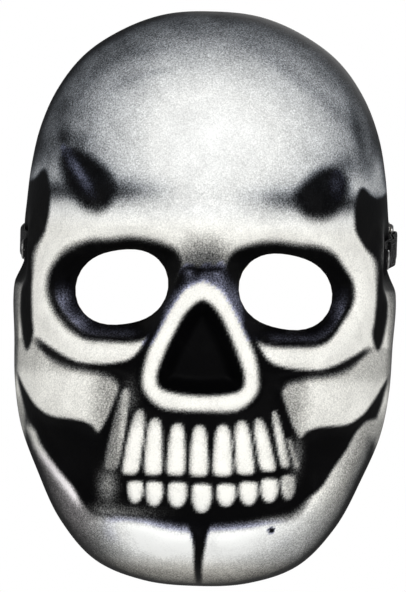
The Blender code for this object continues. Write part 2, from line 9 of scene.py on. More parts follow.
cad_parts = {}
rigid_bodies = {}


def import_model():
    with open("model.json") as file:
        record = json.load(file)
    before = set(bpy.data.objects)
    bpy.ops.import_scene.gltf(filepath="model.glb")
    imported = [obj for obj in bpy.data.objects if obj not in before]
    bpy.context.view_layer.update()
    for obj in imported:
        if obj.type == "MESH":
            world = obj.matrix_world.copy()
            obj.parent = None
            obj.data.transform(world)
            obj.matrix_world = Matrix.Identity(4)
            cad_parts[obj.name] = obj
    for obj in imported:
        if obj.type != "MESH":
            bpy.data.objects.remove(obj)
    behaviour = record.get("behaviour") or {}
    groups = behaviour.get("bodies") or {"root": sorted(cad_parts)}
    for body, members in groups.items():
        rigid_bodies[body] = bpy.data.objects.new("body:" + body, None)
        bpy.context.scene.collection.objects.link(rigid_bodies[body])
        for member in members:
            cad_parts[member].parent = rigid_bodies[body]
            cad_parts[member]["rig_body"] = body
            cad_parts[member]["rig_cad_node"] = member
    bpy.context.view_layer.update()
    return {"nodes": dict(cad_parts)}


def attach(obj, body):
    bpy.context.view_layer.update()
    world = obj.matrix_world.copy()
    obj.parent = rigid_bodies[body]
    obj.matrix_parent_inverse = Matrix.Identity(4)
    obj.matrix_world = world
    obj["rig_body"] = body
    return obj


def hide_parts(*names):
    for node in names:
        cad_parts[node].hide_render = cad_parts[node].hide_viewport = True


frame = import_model()
mm = 0.001


# small helpers for selecting, applying and moving points

def useOnly(obj, *others):
    bpy.ops.object.select_all(action="DESELECT")
    for each in (obj, *others):
        each.select_set(True)
    bpy.context.view_layer.objects.active = obj


def applyAll(obj):
    useOnly(obj)
    for modifier in list(obj.modifiers):
        bpy.ops.object.modifier_apply(modifier=modifier.name)


def nameActive(name):
    obj = bpy.context.active_object
    obj.name = obj.data.name = name
    return obj


def placesOf(obj):
    flat = np.empty(len(obj.data.vertices) * 3)
    obj.data.vertices.foreach_get("co", flat)
    return flat.reshape(-1, 3) / mm


def movePlaces(obj, places):
    obj.data.vertices.foreach_set("co", (np.asarray(places) * mm).ravel())
    obj.data.update()


def storeValues(obj, name, values):
    kind = "FLOAT" if np.ndim(values) == 1 else "FLOAT_COLOR"
    made = obj.data.attributes.new(name, kind, "POINT")
    if kind == "FLOAT":
        made.data.foreach_set("value", np.asarray(values, np.float32))
    else:
        made.data.foreach_set("color", np.c_[values, np.ones(len(values))].astype(np.float32).ravel())


def deleteFaces(obj, chosen):
    useOnly(obj)
    bpy.ops.object.mode_set(mode="EDIT")
    bpy.ops.mesh.select_mode(type="FACE")
    bpy.ops.mesh.select_all(action="DESELECT")
    bpy.ops.object.mode_set(mode="OBJECT")
    obj.data.polygons.foreach_set("select", np.asarray(chosen, bool))
    bpy.ops.object.mode_set(mode="EDIT")
    bpy.ops.mesh.delete(type="FACE")
    bpy.ops.object.mode_set(mode="OBJECT")


def openEdges(obj):
    counts = {}
    for face in obj.data.polygons:
        for key in face.edge_keys:
            counts[key] = counts.get(key, 0) + 1
    return [key for key, count in counts.items() if count == 1]


def stitchLoops(obj, keys, firstCount, middle):  # closes the ring between two open loops
    bm = bmesh.new()
    bm.from_mesh(obj.data)
    bm.verts.ensure_lookup_table()
    members = sorted({index for key in keys for index in key})
    angles = {index: math.atan2(bm.verts[index].co.z / mm - middle[1],
                                bm.verts[index].co.x / mm - middle[0]) for index in members}
    first = sorted((index for index in members if index < firstCount), key=angles.get)
    second = sorted((index for index in members if index >= firstCount), key=angles.get)
    i = j = 0
    while i < len(first) or j < len(second):
        nextFirst = angles[first[i + 1]] if i + 1 < len(first) else angles[first[0]] + 2 * math.pi
        nextSecond = (angles[second[j + 1]] if j + 1 < len(second)
                      else angles[second[0]] + 2 * math.pi)
        a, b = bm.verts[first[i % len(first)]], bm.verts[second[j % len(second)]]
        if j == len(second) or (i < len(first) and nextFirst <= nextSecond):
            bm.faces.new((a, bm.verts[first[(i + 1) % len(first)]], b))
            i += 1
        else:
            bm.faces.new((a, bm.verts[second[(j + 1) % len(second)]], b))
            j += 1
    bm.to_mesh(obj.data)
    bm.free()


def outwardNormals(obj):
    useOnly(obj)
    bpy.ops.object.mode_set(mode="EDIT")
    bpy.ops.mesh.select_all(action="SELECT")
    bpy.ops.mesh.normals_make_consistent(inside=False)
    bpy.ops.object.mode_set(mode="OBJECT")


def boreThrough(obj, radius):
    bpy.ops.mesh.primitive_cylinder_add(vertices=32, radius=radius * mm, depth=0.2,
                                        rotation=(0, math.pi / 2, 0))
    drill = nameActive("drill")
    bore = obj.modifiers.new("bore", "BOOLEAN")
    bore.operation, bore.solver, bore.object = "DIFFERENCE", "EXACT", drill
    applyAll(obj)
    bpy.data.objects.remove(drill)


def smoothStep(low, high, value):
    t = np.clip((value - low) / (high - low), 0.0, 1.0)
    return t * t * (3 - 2 * t)


def hump(distance, halfWidth):
    return 0.5 + 0.5 * np.cos(np.pi * np.clip(distance / halfWidth, -1, 1))


def spot(x, z, centreX, centreZ, radiusX, radiusZ):
    return np.exp(-((x - centreX) / radiusX) ** 2 - ((z - centreZ) / radiusZ) ** 2)


def spots(x, z, rows):  # each row is a strength, a middle and two radii
    return sum(strength * spot(x, z, *place) for strength, *place in rows)


# mask skin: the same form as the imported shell, with finer moulding

skin = {
    "outline": ((0, 110.5), (22, 108.5), (42, 100.5), (57.5, 89.5), (69.5, 73.5), (76.5, 57),
                (80.5, 38), (82.5, 18), (85, 1), (87, -20), (86, -40), (85, -60), (81.5, -79.5),
                (73, -100.5), (61.5, -122.5), (46, -139), (24, -147.5), (0, -149.5)),
    "centreZ": -20.0, "halfWidth": 87.0, "halfHeight": 130.0, "rearY": 26.0, "depth": 88.0,
    "bulgeSide": 2.1, "bulgeUp": 2.8, "bulgeDown": 4.2, "wall": 2.5,
    "crowding": 0.2, "stretch": 1.15,
    "seatX": 80.0, "seatFlat": 15.0, "seatBlend": 32.0,
    "seatFront": 1.3, "seatRear": 0.85, "seatHeight": 1.5,
    "outerCells": (196, 284), "innerCells": (56, 82),
    "rivetHole": 1.9,
    "socket": ((9.5, -3.5), (14, 4.2), (33, 8), (54.5, 2.3), (67.5, -8.5), (67.5, -23.5),
               (55, -37.5), (43, -39.9), (24.5, -38), (16, -23), (11.5, -11)),
    "nose": ((0, -21), (6.5, -26), (11, -34), (15.5, -44), (18.8, -54), (17, -59.5), (9, -61.5),
             (0, -62), (-9, -61.5), (-17, -59.5), (-18.8, -54), (-15.5, -44), (-11, -34),
             (-6.5, -26)),
    "cheekbone": ((34.8, -58), (48, -55), (62, -53.5), (76, -46), (84, -42), (82, -56),
                  (79, -62.5), (73.5, -69.5), (66, -74), (54, -75.2), (44, -80), (40.5, -74)),
    "jaw": ((-12, -123), (9, -121.7), (20, -119.3), (40, -115), (54.5, -104), (66.5, -88.5),
            (75, -75.5), (84, -62), (86, -80), (70, -118), (40, -146), (0, -153), (-30, -148)),
    "pit": ((41.5, 30), (50.5, 19), (59, 24), (64.5, 32), (62.5, 44), (54, 43), (46, 37)),
    "eye": {"x": 36.3, "z": -15.8, "halfWidth": 20.7, "halfHeight": 16.5, "square": 0.035,
            "lean": 1.0},
    # height, and how far outside and inside its curve each form rises
    "carved": (("socket", -8.0, -1, 9), ("nose", -8.0, -1, 8), ("cheekbone", 4.0, -5, 4),
               ("jaw", 4.0, -4, 6), ("pit", -3.0, -3, 7)),
    "noseSwell": (5.0, 0, -44, 25, 36), "muzzle": (4.5, -93, 40, 27),
    "cheekHollow": (-3.5, 58, -88, 15, 14),
    # height, distance outside the curve and reach of the raised bone
    "rim": (2.6, 5, 7), "ridge": (3.0, 4, 6),
    "toothHeight": 1.7, "toothSlope": (-0.7, 1.9), "biteDepth": 0.7, "biteReach": 1.6,
    "chinDepth": 1.5, "chinSwells": ((2.0, -15, -130, 11, 8), (2.0, 17, -129, 11, 8)),
    "rootCrease": (-0.9, 0, -8, 8, 2.6),
    "jawCreases": ((52, -121), (45, -128), (-57, -112)), "creaseDepth": 0.5,
    "creaseSize": (1.3, 9), "browWork": 0.28,
}

# upper teeth: middle at the biting edge, middle at the gum, width, biting edge, gum
upperTeeth = ((-38.6, -32.6, 6.6, -96.5, -60), (-30.0, -26.0, 7.6, -98.0, -69),
              (-19.7, -19.4, 8.0, -97.8, -72.5), (-9.8, -9.4, 8.2, -97.6, -74.5),
              (0.4, 0.2, 8.2, -97.8, -75), (10.9, 10.4, 8.6, -97.4, -74.5),
              (21.0, 18.4, 8.2, -96.4, -72.5), (31.0, 25.8, 7.2, -94.8, -71.5),
              (38.6, 32.6, 4.4, -93.0, -68), (43.8, 39.4, 2.6, -93.6, -80))
# lower teeth: middle, width, biting edge, foot
lowerTeeth = ((-27.3, 7.0, -101.0, -110.6), (-18.9, 7.8, -101.0, -111.6),
              (-8.7, 8.6, -101.0, -111.8), (2.0, 9.0, -101.4, -114.0), (12.7, 8.6, -101.0, -110.8),
              (22.5, 8.4, -99.8, -110.0), (31.7, 7.8, -98.2, -108.6), (39.9, 6.4, -96.6, -107.2))


def closedCurve(corners, steps=5):
    p = np.array(corners, float)
    before, after, beyond = np.roll(p, 1, 0), np.roll(p, -1, 0), np.roll(p, -2, 0)
    rows = [(2 * p + (after - before) * t + (2 * before - 5 * p + 4 * after - beyond) * t * t
             + (3 * p - before - 3 * after + beyond) * t ** 3) / 2
            for t in np.arange(steps) / steps]
    return np.stack(rows, 1).reshape(-1, 2)


def insideDistance(corners, x, z, steps=5):  # positive inside the curve
    curve = closedCurve(corners, steps)
    nearest, crossed = np.full(np.shape(x), 1e9), np.zeros(np.shape(x), bool)
    for (x0, z0), (x1, z1) in zip(curve, np.roll(curve, -1, 0)):
        dx, dz = x1 - x0, z1 - z0
        along = np.clip(((x - x0) * dx + (z - z0) * dz) / (dx * dx + dz * dz), 0, 1)
        nearest = np.minimum(nearest, (x - x0 - along * dx) ** 2 + (z - z0 - along * dz) ** 2)
        crossed ^= ((z0 > z) != (z1 > z)) & (x < x0 + dx * (z - z0) / (dz or 1e-9))
    return np.where(crossed, 1, -1) * np.sqrt(nearest)


def cubicThrough(knots, values, at):
    slopes = np.gradient(values, knots)
    slopes[0] = slopes[-1] = 0.0
    i = np.clip(np.searchsorted(knots, at) - 1, 0, len(knots) - 2)
    span = knots[i + 1] - knots[i]
    t = np.clip((at - knots[i]) / span, 0.0, 1.0)
    return (values[i] * (1 + 2 * t) * (1 - t) ** 2 + slopes[i] * span * t * (1 - t) ** 2
            + values[i + 1] * t * t * (3 - 2 * t) + slopes[i + 1] * span * t * t * (t - 1))


def outlineRadius(angle):
    points = np.array(skin["outline"][::-1], float)
    up = points[:, 1] - skin["centreZ"]
    folded = np.arctan2(np.sin(angle), np.abs(np.cos(angle)))
    return cubicThrough(np.arctan2(up, points[:, 0]), np.hypot(points[:, 0], up), folded)


def hollows(x, z):
    ax = np.abs(x)
    tall, middleZ, wide, deep = skin["muzzle"]
    height = spots(ax, z, (skin["noseSwell"], skin["cheekHollow"]))
    height += tall * np.exp(-(ax / wide) ** 4 - ((z - middleZ) / deep) ** 4)
    for form, depth, begin, full in skin["carved"]:
        across = x if form == "nose" else ax
        height += depth * smoothStep(begin, full, insideDistance(skin[form], across, z))
    return height


def upperTooth(foot, top, width, low, high):
    half = width / 2
    profile = ((-0.32, 0.0), (-0.50, 0.10), (-0.49, 0.40), (-0.40, 0.80), (-0.20, 0.97),
               (0.20, 0.97), (0.40, 0.80), (0.49, 0.40), (0.50, 0.10), (0.32, 0.0))
    return [(foot + (top - foot) * t + across * 2 * half, low + (high - low) * t)
            for across, t in profile]


def lowerTooth(middle, width, high, low):
    profile = ((-0.36, 1.0), (-0.50, 0.76), (-0.46, 0.34), (-0.20, 0.02), (0.20, 0.02),
               (0.46, 0.34), (0.50, 0.76), (0.36, 1.0))
    return [(middle + across * width, low + (high - low) * t) for across, t in profile]


def toothDistances(x, z):
    found = np.full(np.shape(x), -50.0)
    near = (np.abs(x) < 55) & (z < -52) & (z > -125)
    px, pz = x[near], z[near]
    nearest = np.full(px.shape, -50.0)
    for tooth in upperTeeth:
        nearest = np.maximum(nearest, insideDistance(upperTooth(*tooth), px, pz, 4))
    for tooth in lowerTeeth:
        nearest = np.maximum(nearest, insideDistance(lowerTooth(*tooth), px, pz, 4))
    found[near] = nearest
    return found


def chinLine(z):  # where the groove in the chin runs, and half its width
    middle = 1.3 + 0.2 * np.sin(z * 0.33)
    half = np.interp(z, (-150, -145, -138, -130, -124, -118), (0.5, 0.8, 1.1, 1.8, 2.9, 4.8))
    return middle, half


def fullRelief(x, z):
    ax = np.abs(x)
    curves = ((skin["rim"], skin["socket"], ax), (skin["ridge"], skin["nose"], x))
    rim, ridge = (tall * hump(insideDistance(curve, across, z) + outside, reach)
                  for (tall, outside, reach), curve, across in curves)
    height = hollows(x, z) + np.maximum(rim, ridge)
    height += skin["toothHeight"] * smoothStep(*skin["toothSlope"], toothDistances(x, z))
    biteLine = -98.9 + 0.0012 * np.clip(x, 0, 50) ** 2
    height -= skin["biteDepth"] * hump(z - biteLine, skin["biteReach"]) * smoothStep(46, 38, ax)
    middle, half = chinLine(z)
    groove = smoothStep(-150, -142, z) * smoothStep(-116, -122, z)
    height -= skin["chinDepth"] * groove * np.exp(-((x - middle) / (half + 1.2)) ** 2)
    height += spots(x, z, skin["chinSwells"] + (skin["rootCrease"],))
    for creaseX, creaseZ in skin["jawCreases"]:
        across = (x - creaseX) * 0.8 - (z - creaseZ) * 0.6
        along = (x - creaseX) * 0.6 + (z - creaseZ) * 0.8
        height -= skin["creaseDepth"] * spot(across, along, 0, 0, *skin["creaseSize"])
    swell = (np.sin(x * 0.11 + 0.7) * np.sin(z * 0.09 + 1.9) + np.sin(x * 0.23 - z * 0.17)
             * np.sin(z * 0.21 + 0.4) * 0.45)
    return height + skin["browWork"] * swell * smoothStep(5, 40, z)


def facePlace(a, b):
    flatX, flatZ = a * np.sqrt(1 - b * b / 2), b * np.sqrt(1 - a * a / 2)
    radius = np.clip(np.hypot(flatX, flatZ), 0, 1)
    angle = np.arctan2(skin["halfHeight"] * flatZ, skin["halfWidth"] * flatX)
    stretch = skin["stretch"]
    u = stretch * radius - (stretch - 1) * radius ** (stretch / (stretch - 1))
    reach = outlineRadius(angle) * u
    return reach * np.cos(angle), skin["centreZ"] + reach * np.sin(angle)


def surfaceY(x, z, relief):
    angle = np.arctan2(z - skin["centreZ"], x)
    u = np.clip(np.hypot(x, z - skin["centreZ"]) / outlineRadius(angle), 0, 1)
    low = skin["bulgeSide"]
    bulge = low + np.sin(angle) ** 2 * np.where(np.sin(angle) > 0, skin["bulgeUp"] - low,
                                                skin["bulgeDown"] - low)
    y = skin["rearY"] - skin["depth"] * np.clip(1 - u ** bulge, 0, 1) ** (1 / bulge)
    return y - relief(x, z) * (1 - smoothStep(0.90, 0.985, u))


def skinSurface(x, z, relief):
    y = surfaceY(x, z, relief)
    along = y * np.where(y < 0, skin["seatFront"], skin["seatRear"])
    flatness = 1 - smoothStep(skin["seatFlat"], skin["seatBlend"],
                              np.hypot(along, skin["seatHeight"] * z))
    flatness = flatness * (np.abs(x) > skin["halfWidth"] / 2)
    return np.stack([x + flatness * (np.sign(x) * skin["seatX"] - x), y, z], -1)


def eyeOffset(x, z):  # place relative to the nearer eye hole, and the hole's radius that way
    eye = skin["eye"]
    dx, dz = np.abs(x) - eye["x"], z - eye["z"]
    angle = np.arctan2(dz, dx)
    radius = eye["halfWidth"] * eye["halfHeight"] / np.hypot(eye["halfHeight"] * np.cos(angle),
                                                             eye["halfWidth"] * np.sin(angle))
    radius = radius * (1 + eye["square"] * np.sin(2 * angle) ** 2) - eye["lean"] * np.sin(2 * angle)
    return np.hypot(dx, dz), radius, angle


def skinGrid(name, cells):  # a flat grid, and the place on the face of each of its points
    bpy.ops.mesh.primitive_grid_add(x_subdivisions=cells[0], y_subdivisions=cells[1], size=2)
    grid = nameActive(name)
    t = placesOf(grid)[:, :2] * mm
    crowd = 1 + skin["crowding"]
    a, b = (t * (crowd - skin["crowding"] * t ** 2)).T
    x, z = facePlace(a, b)
    return grid, x, z, np.abs(t).max(1) > 1 - 1e-6


def cutEyes(grid, x, z, relief, setBack):
    distance, radius, angle = eyeOffset(x, z)
    inside = distance < radius
    corners = np.array([face.vertices[:] for face in grid.data.polygons])
    deleted = inside[corners].sum(1) >= 2
    kept = np.zeros(len(x), bool)
    kept[np.unique(corners[~deleted])] = True
    onEdge = kept & np.isin(np.arange(len(x)), np.unique(corners[deleted]))
    eye = skin["eye"]
    places = placesOf(grid)
    places[onEdge, 0] = np.copysign(eye["x"] + (radius * np.cos(angle))[onEdge], x[onEdge])
    places[onEdge, 2] = eye["z"] + (radius * np.sin(angle))[onEdge]
    places[onEdge, 1] = surfaceY(places[onEdge, 0], places[onEdge, 2], relief) + setBack
    movePlaces(grid, places)
    deleteFaces(grid, deleted)
    return kept


def eyeLoop(obj, side):
    places = placesOf(obj)
    middle = np.array([skin["eye"]["x"] * side, skin["eye"]["z"]])
    return [key for key in openEdges(obj)
            if np.hypot(*(places[key[0]][[0, 2]] - middle)) < 30]


# paint on the skin: lightness as the eye sees it, 0 black to 1 white, and a tint

paint = {
    "forehead": ((0, .3, .45, .57, .7, .82, .93, 1.02), (.96, .92, .84, .745, .575, .40, .23, .05)),
    "chin": ((0, 2.2, 4.5, 7.5, 13, 20, 28), (0, .06, .36, .55, .74, .92, 1)),
    "pitRight": ((40.5, 26), (44.5, 32), (50, 37), (56, 38.5), (60.5, 35.5), (61.5, 30),
                 (57.5, 22), (51.5, 17), (45, 18.5)),
    "pitLeft": ((-42, 28.5), (-44.5, 34), (-50, 39), (-55.5, 42.5), (-60, 44), (-63.5, 42.5),
                (-64, 38.5), (-62.5, 32), (-58, 25), (-53, 19.5), (-48, 17.5), (-43.5, 21)),
    "noseRidge": ((0, -11), (8.3, -15), (14.5, -24), (19, -32.5), (24.5, -44.5), (26.5, -55),
                  (25.5, -61.5), (20, -67.5), (12, -70), (0, -71)),
    "lowerDark": ((0, -6.5), (9, -7), (15, -20), (21, -32), (27, -43.5), (33, -48.5),
                  (44.5, -50.3), (56, -49.3), (67.5, -43.8), (74, -39.8), (80, -40), (87, -43),
                  (87, -47.5), (83.2, -56), (80.8, -64), (78.6, -70.6)),
    "jawRight": ((77.9, -71), (73.3, -72.4), (69, -77.4), (64.7, -85.5), (59.9, -92.6),
                 (54.2, -101.7), (46.2, -108), (40.5, -112.2), (30, -114.4), (18.2, -116.8),
                 (5.2, -118)),
    "jawLeft": ((-3.5, -118.6), (-12.7, -117.6), (-22, -115.4), (-31.7, -114.4), (-42.2, -114.2),
                (-49, -111.6), (-54.8, -104.6), (-62.2, -96.4), (-69.6, -87.2), (-72.6, -80.8),
                (-76.5, -76)),
    "cheek": ((36.0, -60), (39, -55.8), (46, -53.8), (57, -52.3), (66, -49.2), (72, -44.8),
              (77, -41.8), (86, -40), (87, -49), (82, -57.5), (78.6, -63), (73.4, -69.5), (66, -73.8),
              (54, -75), (48, -76.8), (44.4, -80), (41, -74.5), (38, -67)),
    "temple": ((73, 31.5), (70.3, 24), (70.2, 16), (71.9, 7), (75.3, -3), (77.3, -14),
               (76.8, -27), (76, -34), (78.3, -40.5), (80.6, -36), (82.4, -26), (83.4, -15),
               (92, -9), (92, 31), (80, 27)),
    # strength, ring, wave, waves round, phase, width, and where it begins and ends round the brow
    "strokes": ((1, 0.70, 0.05, 3, 0, 0.035, 1.7, 2.4, 2.7, 3.1),
                (0.7, 0.56, -0.04, 4, 0, 0.03, 1.9, 2.3, 2.5, 2.9),
                (0.8, 0.66, 0.04, 5, math.pi / 2, 0.04, 0.05, 0.3, 0.8, 1.1)),
    # spots: strength, middle and radii
    "browSmudges": (((0.30, -66, 62, 4, 9),),
                    ((0.62, -64.5, 50.5, 3.4, 4.6), (0.36, -57, 48.5, 6, 4)),
                    ((0.42, 61, 41, 5, 4.5),)),
    # navy: painted highlights inside the lower sockets
    "navy": ((0.40, -63.0, -23.5, 4.4, 6), (0.30, -58, -31.5, 8, 4.5), (0.26, 61.5, -25, 4, 8)),
    "noseWash": ((0.34, -6.5, -8.6, 2.6, 2.4), (0.22, 7, -8, 2.6, 3)),
    # painted highlights on the chin's two swells
    "chinPaintedHighlights": ((0.10, -17, -130, 9, 6), (0.10, 17, -128, 9, 6)),
    "mouthDust": ((0.50, -39.5, -103, 4.6, 8), (0.34, -34, -115, 16, 3.2),
                  (0.34, 43.5, -88, 3, 10), (0.25, -31, -64, 4, 8)),
    # leaning smears: strength, lean, the height it turns about, middle and radii
    "browCrack": (0.50, 0.24, 55, 67, 56, 2.8, 15), "pitGleam": (0.34, 0.62, 34, -56.5, 34.5, 2.6, 8),
    "templeStreak": (0.36, -0.16, 6, 78, 5, 1.7, 12), "leftStreak": (0.16, 0, 0, -79.5, 8, 1.6, 10),
    "cool": (0.86, 0.97, 1.17), "warm": (1.03, 1.0, 0.93), "deepBlue": (0.72, 0.78, 1.42),
    "plum": (1.02, 0.97, 1.0), "foot": (1.04, 1.0, 0.93),
}


def blend(value, target, share):
    return value + (target - value) * share


def mirrored(corners):
    return [(-x, z) for x, z in reversed(corners)]


def smear(x, z, strength, lean, pivot, *place):
    return strength * spot(x + (z - pivot) * lean, z, *place)


def brushStroke(reach, around, strength, ring, wave, count, phase, wide, begin, full, fade, end):
    bend = (reach - ring - wave * np.sin(around * count + phase)) / wide
    return strength * np.exp(-bend ** 2) * smoothStep(begin, full, around) * smoothStep(
        end, fade, around)


def darkOutline():
    upper = paint["lowerDark"]
    return (list(upper) + list(paint["jawRight"]) + list(paint["jawLeft"])
            + [(x, z) for x, z in mirrored(upper)][:-1])


def paintSkin(x, y, z):
    ax, centre = np.abs(x), skin["centreZ"]
    isRight, isLeft = smoothStep(-3, 3, x), smoothStep(3, -3, x)
    edge = outlineRadius(np.arctan2(z - centre, x)) - np.hypot(x, z - centre)

    # forehead, brighter in the middle, black round the crown
    reach = np.hypot(x / blend(86, 90, isRight), (z - 50) / 64)
    forehead = np.interp(reach, *paint["forehead"])
    rise = blend(smoothStep(12, 34, z), smoothStep(24, 46, z), smoothStep(52, 64, ax))
    white = blend(0.95, forehead, rise)
    white *= blend(1, smoothStep(0.3, blend(5.5, 9, isRight), edge) ** 0.6, smoothStep(26, 50, z))
    streaks = np.sin(x * 0.16 + z * 0.22) * np.sin(z * 0.12 - x * 0.05 + 1)
    white *= 1 - 0.14 * np.clip(streaks, 0, 1) * smoothStep(0.40, 0.8, reach) * rise
    around = np.arctan2(z - 50, x)
    strokes = sum(brushStroke(reach, around, *row) for row in paint["strokes"])
    white *= 1 - 0.17 * strokes * rise
    white *= 1 - 0.09 * smoothStep(16, 42, -x) * rise
    white *= 1 - isRight * smear(x, z, *paint["browCrack"])
    for rows in paint["browSmudges"]:
        white *= 1 - spots(x, z, rows)
    white = blend(white, 0.72, spot(x, z, 76.5, 38, 3.2, 9) * 0.8)

    # pits above the brow, with a spray that trails off towards the middle
    pit = insideDistance(paint["pitRight"], x, z)
    pitLeft = insideDistance(paint["pitLeft"], x, z)
    spray = smoothStep(-4.5, 1.5, pit) * smoothStep(13, 22, z) ** 0.5
    sprayLeft = smoothStep(-4.5, 1.5, pitLeft) * smoothStep(13, 23, z) ** 0.5
    trail = np.interp(x, (10, 24, 34, 42), (0, .2, .56, .72)) * np.exp(-((z - 24.5) / 4.8) ** 2)
    trailLeft = (np.interp(-x, (12, 26, 36, 44), (0, .24, .55, .75))
                 * np.exp(-((z - 26.5) / 4.8) ** 2))
    white *= 1 - np.maximum(trail, trailLeft)
    white = blend(white, 0.045, np.maximum(spray, sprayLeft))
    # gleam is a painted highlight: a bluish streak lightened inside each black pit
    gleam = smear(x, z, *paint["pitGleam"]) + 0.12 * spot(x, z, 57.5, 32, 3, 6)
    white += gleam * (np.maximum(pit, pitLeft) > 0)

    # eye sockets
    socket = insideDistance(skin["socket"], ax, z)
    socket = socket - 2.8 * smoothStep(-7, 3, z) * smoothStep(54, 38, ax)
    socket = socket - 2.2 * isRight * smoothStep(56, 64, ax)
    softRim = blend(1.6, 3.0, smoothStep(-6, 2, z)) + 1.6 * isLeft * smoothStep(52, 62, ax)
    white = blend(white, 0.01, smoothStep(-softRim, 1.4, socket))
    deep = smoothStep(0.5, 3.5, socket)
    # navy is a painted highlight: bluish grey patches lightening the deep lower insides of the black
    # sockets
    navy = spots(x, z, paint["navy"])
    navy += 0.19 * smoothStep(8, 2.5, socket) * smoothStep(-26, -34, z) * smoothStep(24, 34, ax)
    white = np.maximum(white, navy * deep)

    # root of the nose: greyed, then a black bar
    root = np.exp(-(ax / (9.5 + 0.3 * np.clip(9 - z, 0, 20))) ** 3)
    white *= 1 - root * 0.66 * smoothStep(13, -4, z)
    outline = darkOutline()
    dark = insideDistance(outline, x, z)
    softest = blend(1.4, 6.5, smoothStep(-103, -112, z) * smoothStep(58, 44, ax))
    shade = smoothStep(-softest, 0.8, dark)
    shade *= blend(1, 0.2, smoothStep(69, 78, ax) * smoothStep(-53, -46, z))
    jawWhite = np.interp(edge * (1 + 0.5 * np.exp(-(x / 26) ** 2)), *paint["chin"])
    jawWhite = np.maximum(jawWhite, 0.62 * isRight * smoothStep(-88, -76, z))
    jawWhite *= blend(1, 0.66, smoothStep(-28, -50, x))
    jawWhite += (0.52 * np.exp(-((dark + 2.6) / 2.2) ** 2) * smoothStep(-42, -52, x)
                 * smoothStep(-117, -108, z) * smoothStep(-76, -82, z))
    jawWhite = np.maximum(jawWhite, 0.60 * smoothStep(-62, -74, z) * smoothStep(-95, -80, z)
                          * smoothStep(76, 80, ax))
    # painted highlights on the two swells of the chin
    jawWhite += spots(x, z, paint["chinPaintedHighlights"])
    white = blend(white, jawWhite, smoothStep(-62, -76, z) * (dark < 1))
    white = blend(white, 0.008, shade)

    # cheekbones, dusted at their inner ends and upper edges
    outward = 1.3 * isRight * smoothStep(58, 72, x)
    cheek = insideDistance(paint["cheek"], ax + outward, z)
    bone = 0.92 - 0.30 * smoothStep(52, 40, ax) - 0.16 * smoothStep(-58, -50, z)
    bone -= 0.22 * smoothStep(5, 0, edge)
    soft = blend(1.0, 2.6, smoothStep(-62, -54, z) * smoothStep(74, 64, ax))
    white = blend(white, bone, smoothStep(-soft, soft, cheek) * (z < -38))

    # ridge round the nose, and a grey wash beside it
    ridge = insideDistance(paint["noseRidge"][:-1] + tuple(mirrored(paint["noseRidge"])[1:]), x, z)
    wash = 0.34 * smoothStep(-8, -1, ridge) * isRight * smoothStep(-40, -26, z)
    wash += 0.26 * smoothStep(-4, 0, ridge) * isLeft * smoothStep(-44, -34, z)
    wash += spots(x, z, paint["noseWash"])
    white = np.maximum(white, wash * smoothStep(-5.5, -9, z) * smoothStep(20, 16, ax))
    white = blend(white, 0.98, smoothStep(-0.8, 2.4, ridge))
    nose = insideDistance(skin["nose"], x, z)
    white = blend(white, 0.004, smoothStep(-1.6, 0.9, nose))

    # teeth, lighter in their middles with painted shade greying their edges, with greyed roots, and the
    # dusting at the left corner of the mouth
    tooth = toothDistances(x, z)
    enamelAndShade = 0.90 + 0.09 * smoothStep(0.6, 2.6, tooth) - 0.20 * smoothStep(-80, -70, z) * (z > -99)
    enamelAndShade *= blend(1, 0.72, smoothStep(33, 39, np.abs(x - 1.5)))
    enamelAndShade *= blend(1, 0.72, smoothStep(-32, -36, x))
    white = blend(white, enamelAndShade, smoothStep(-0.9, 0.8, tooth))
    dusting = spots(x, z, paint["mouthDust"])
    white = np.maximum(white, dusting * (tooth < 0.4) * (ridge < 0))

    # groove down the chin and a fleck of black
    middle, half = chinLine(z)
    groove = smoothStep(half + 1.5, half - 0.4, np.abs(x - middle)) * smoothStep(-113, -117, z)
    white = blend(white, 0.01, groove * smoothStep(-149, -143, z) ** 0.4)
    white = blend(white, 0.03, smoothStep(1.9, 0.8, np.hypot(x - 33, z + 121)))

    # hollows of the temples, black, with a grey streak
    templeZ = blend(z, -4.5 + (z + 4.5) / 1.12, isLeft)
    temple = insideDistance(paint["temple"], ax + 3.8 * isRight * smoothStep(0, 14, z), templeZ)
    white = blend(white, 0.012, smoothStep(-1.3, 0.9, temple))
    streak = isRight * smear(x, z, *paint["templeStreak"])
    streak += isLeft * smear(x, z, *paint["leftStreak"])
    white = np.maximum(white, streak * smoothStep(0.5, 2, temple))
    strip = smoothStep(82.2, 84.2, ax) * smoothStep(-6, -22, z) * smoothStep(-66, -50, z)
    white = blend(white, blend(0.60, 0.40, isLeft), strip * 0.9)
    # rear of the sides, dusted darker towards the edge
    white *= 1 - 0.55 * smoothStep(-4, 24, y) * smoothStep(70, 76, ax) * smoothStep(-140, -90, z)

    # tints: cool greys above, warm bone, navy on the painted highlights in the sockets and pits and on
    # the washes beside the nose and under the mouth, plum on the left jaw
    face = smoothStep(20, 8, z) * smoothStep(-125, -100, z) * smoothStep(0.3, 0.6, white)
    blue = np.clip((navy > 0.02) * deep + (gleam > 0.03) + (wash > 0.03) * (ridge < 1)
                   + 0.8 * smoothStep(-115, -119, z) * smoothStep(-131, -122, z)
                   * smoothStep(44, 34, ax) * smoothStep(0.9, 0.6, white), 0, 1)
    tint = np.ones(3)
    for name, share in (("cool", np.clip(0.9 - white, 0, 1) * smoothStep(12, 30, z)),
                        ("warm", 0.6 * face), ("deepBlue", 0.55 * blue),
                        ("plum", smoothStep(-40, -56, x) * smoothStep(-84, -96, z)),
                        ("foot", smoothStep(-132, -143, z))):
        tint = blend(tint, np.array(paint[name]), share[:, None])
    return np.clip(white, 0, 1), tint


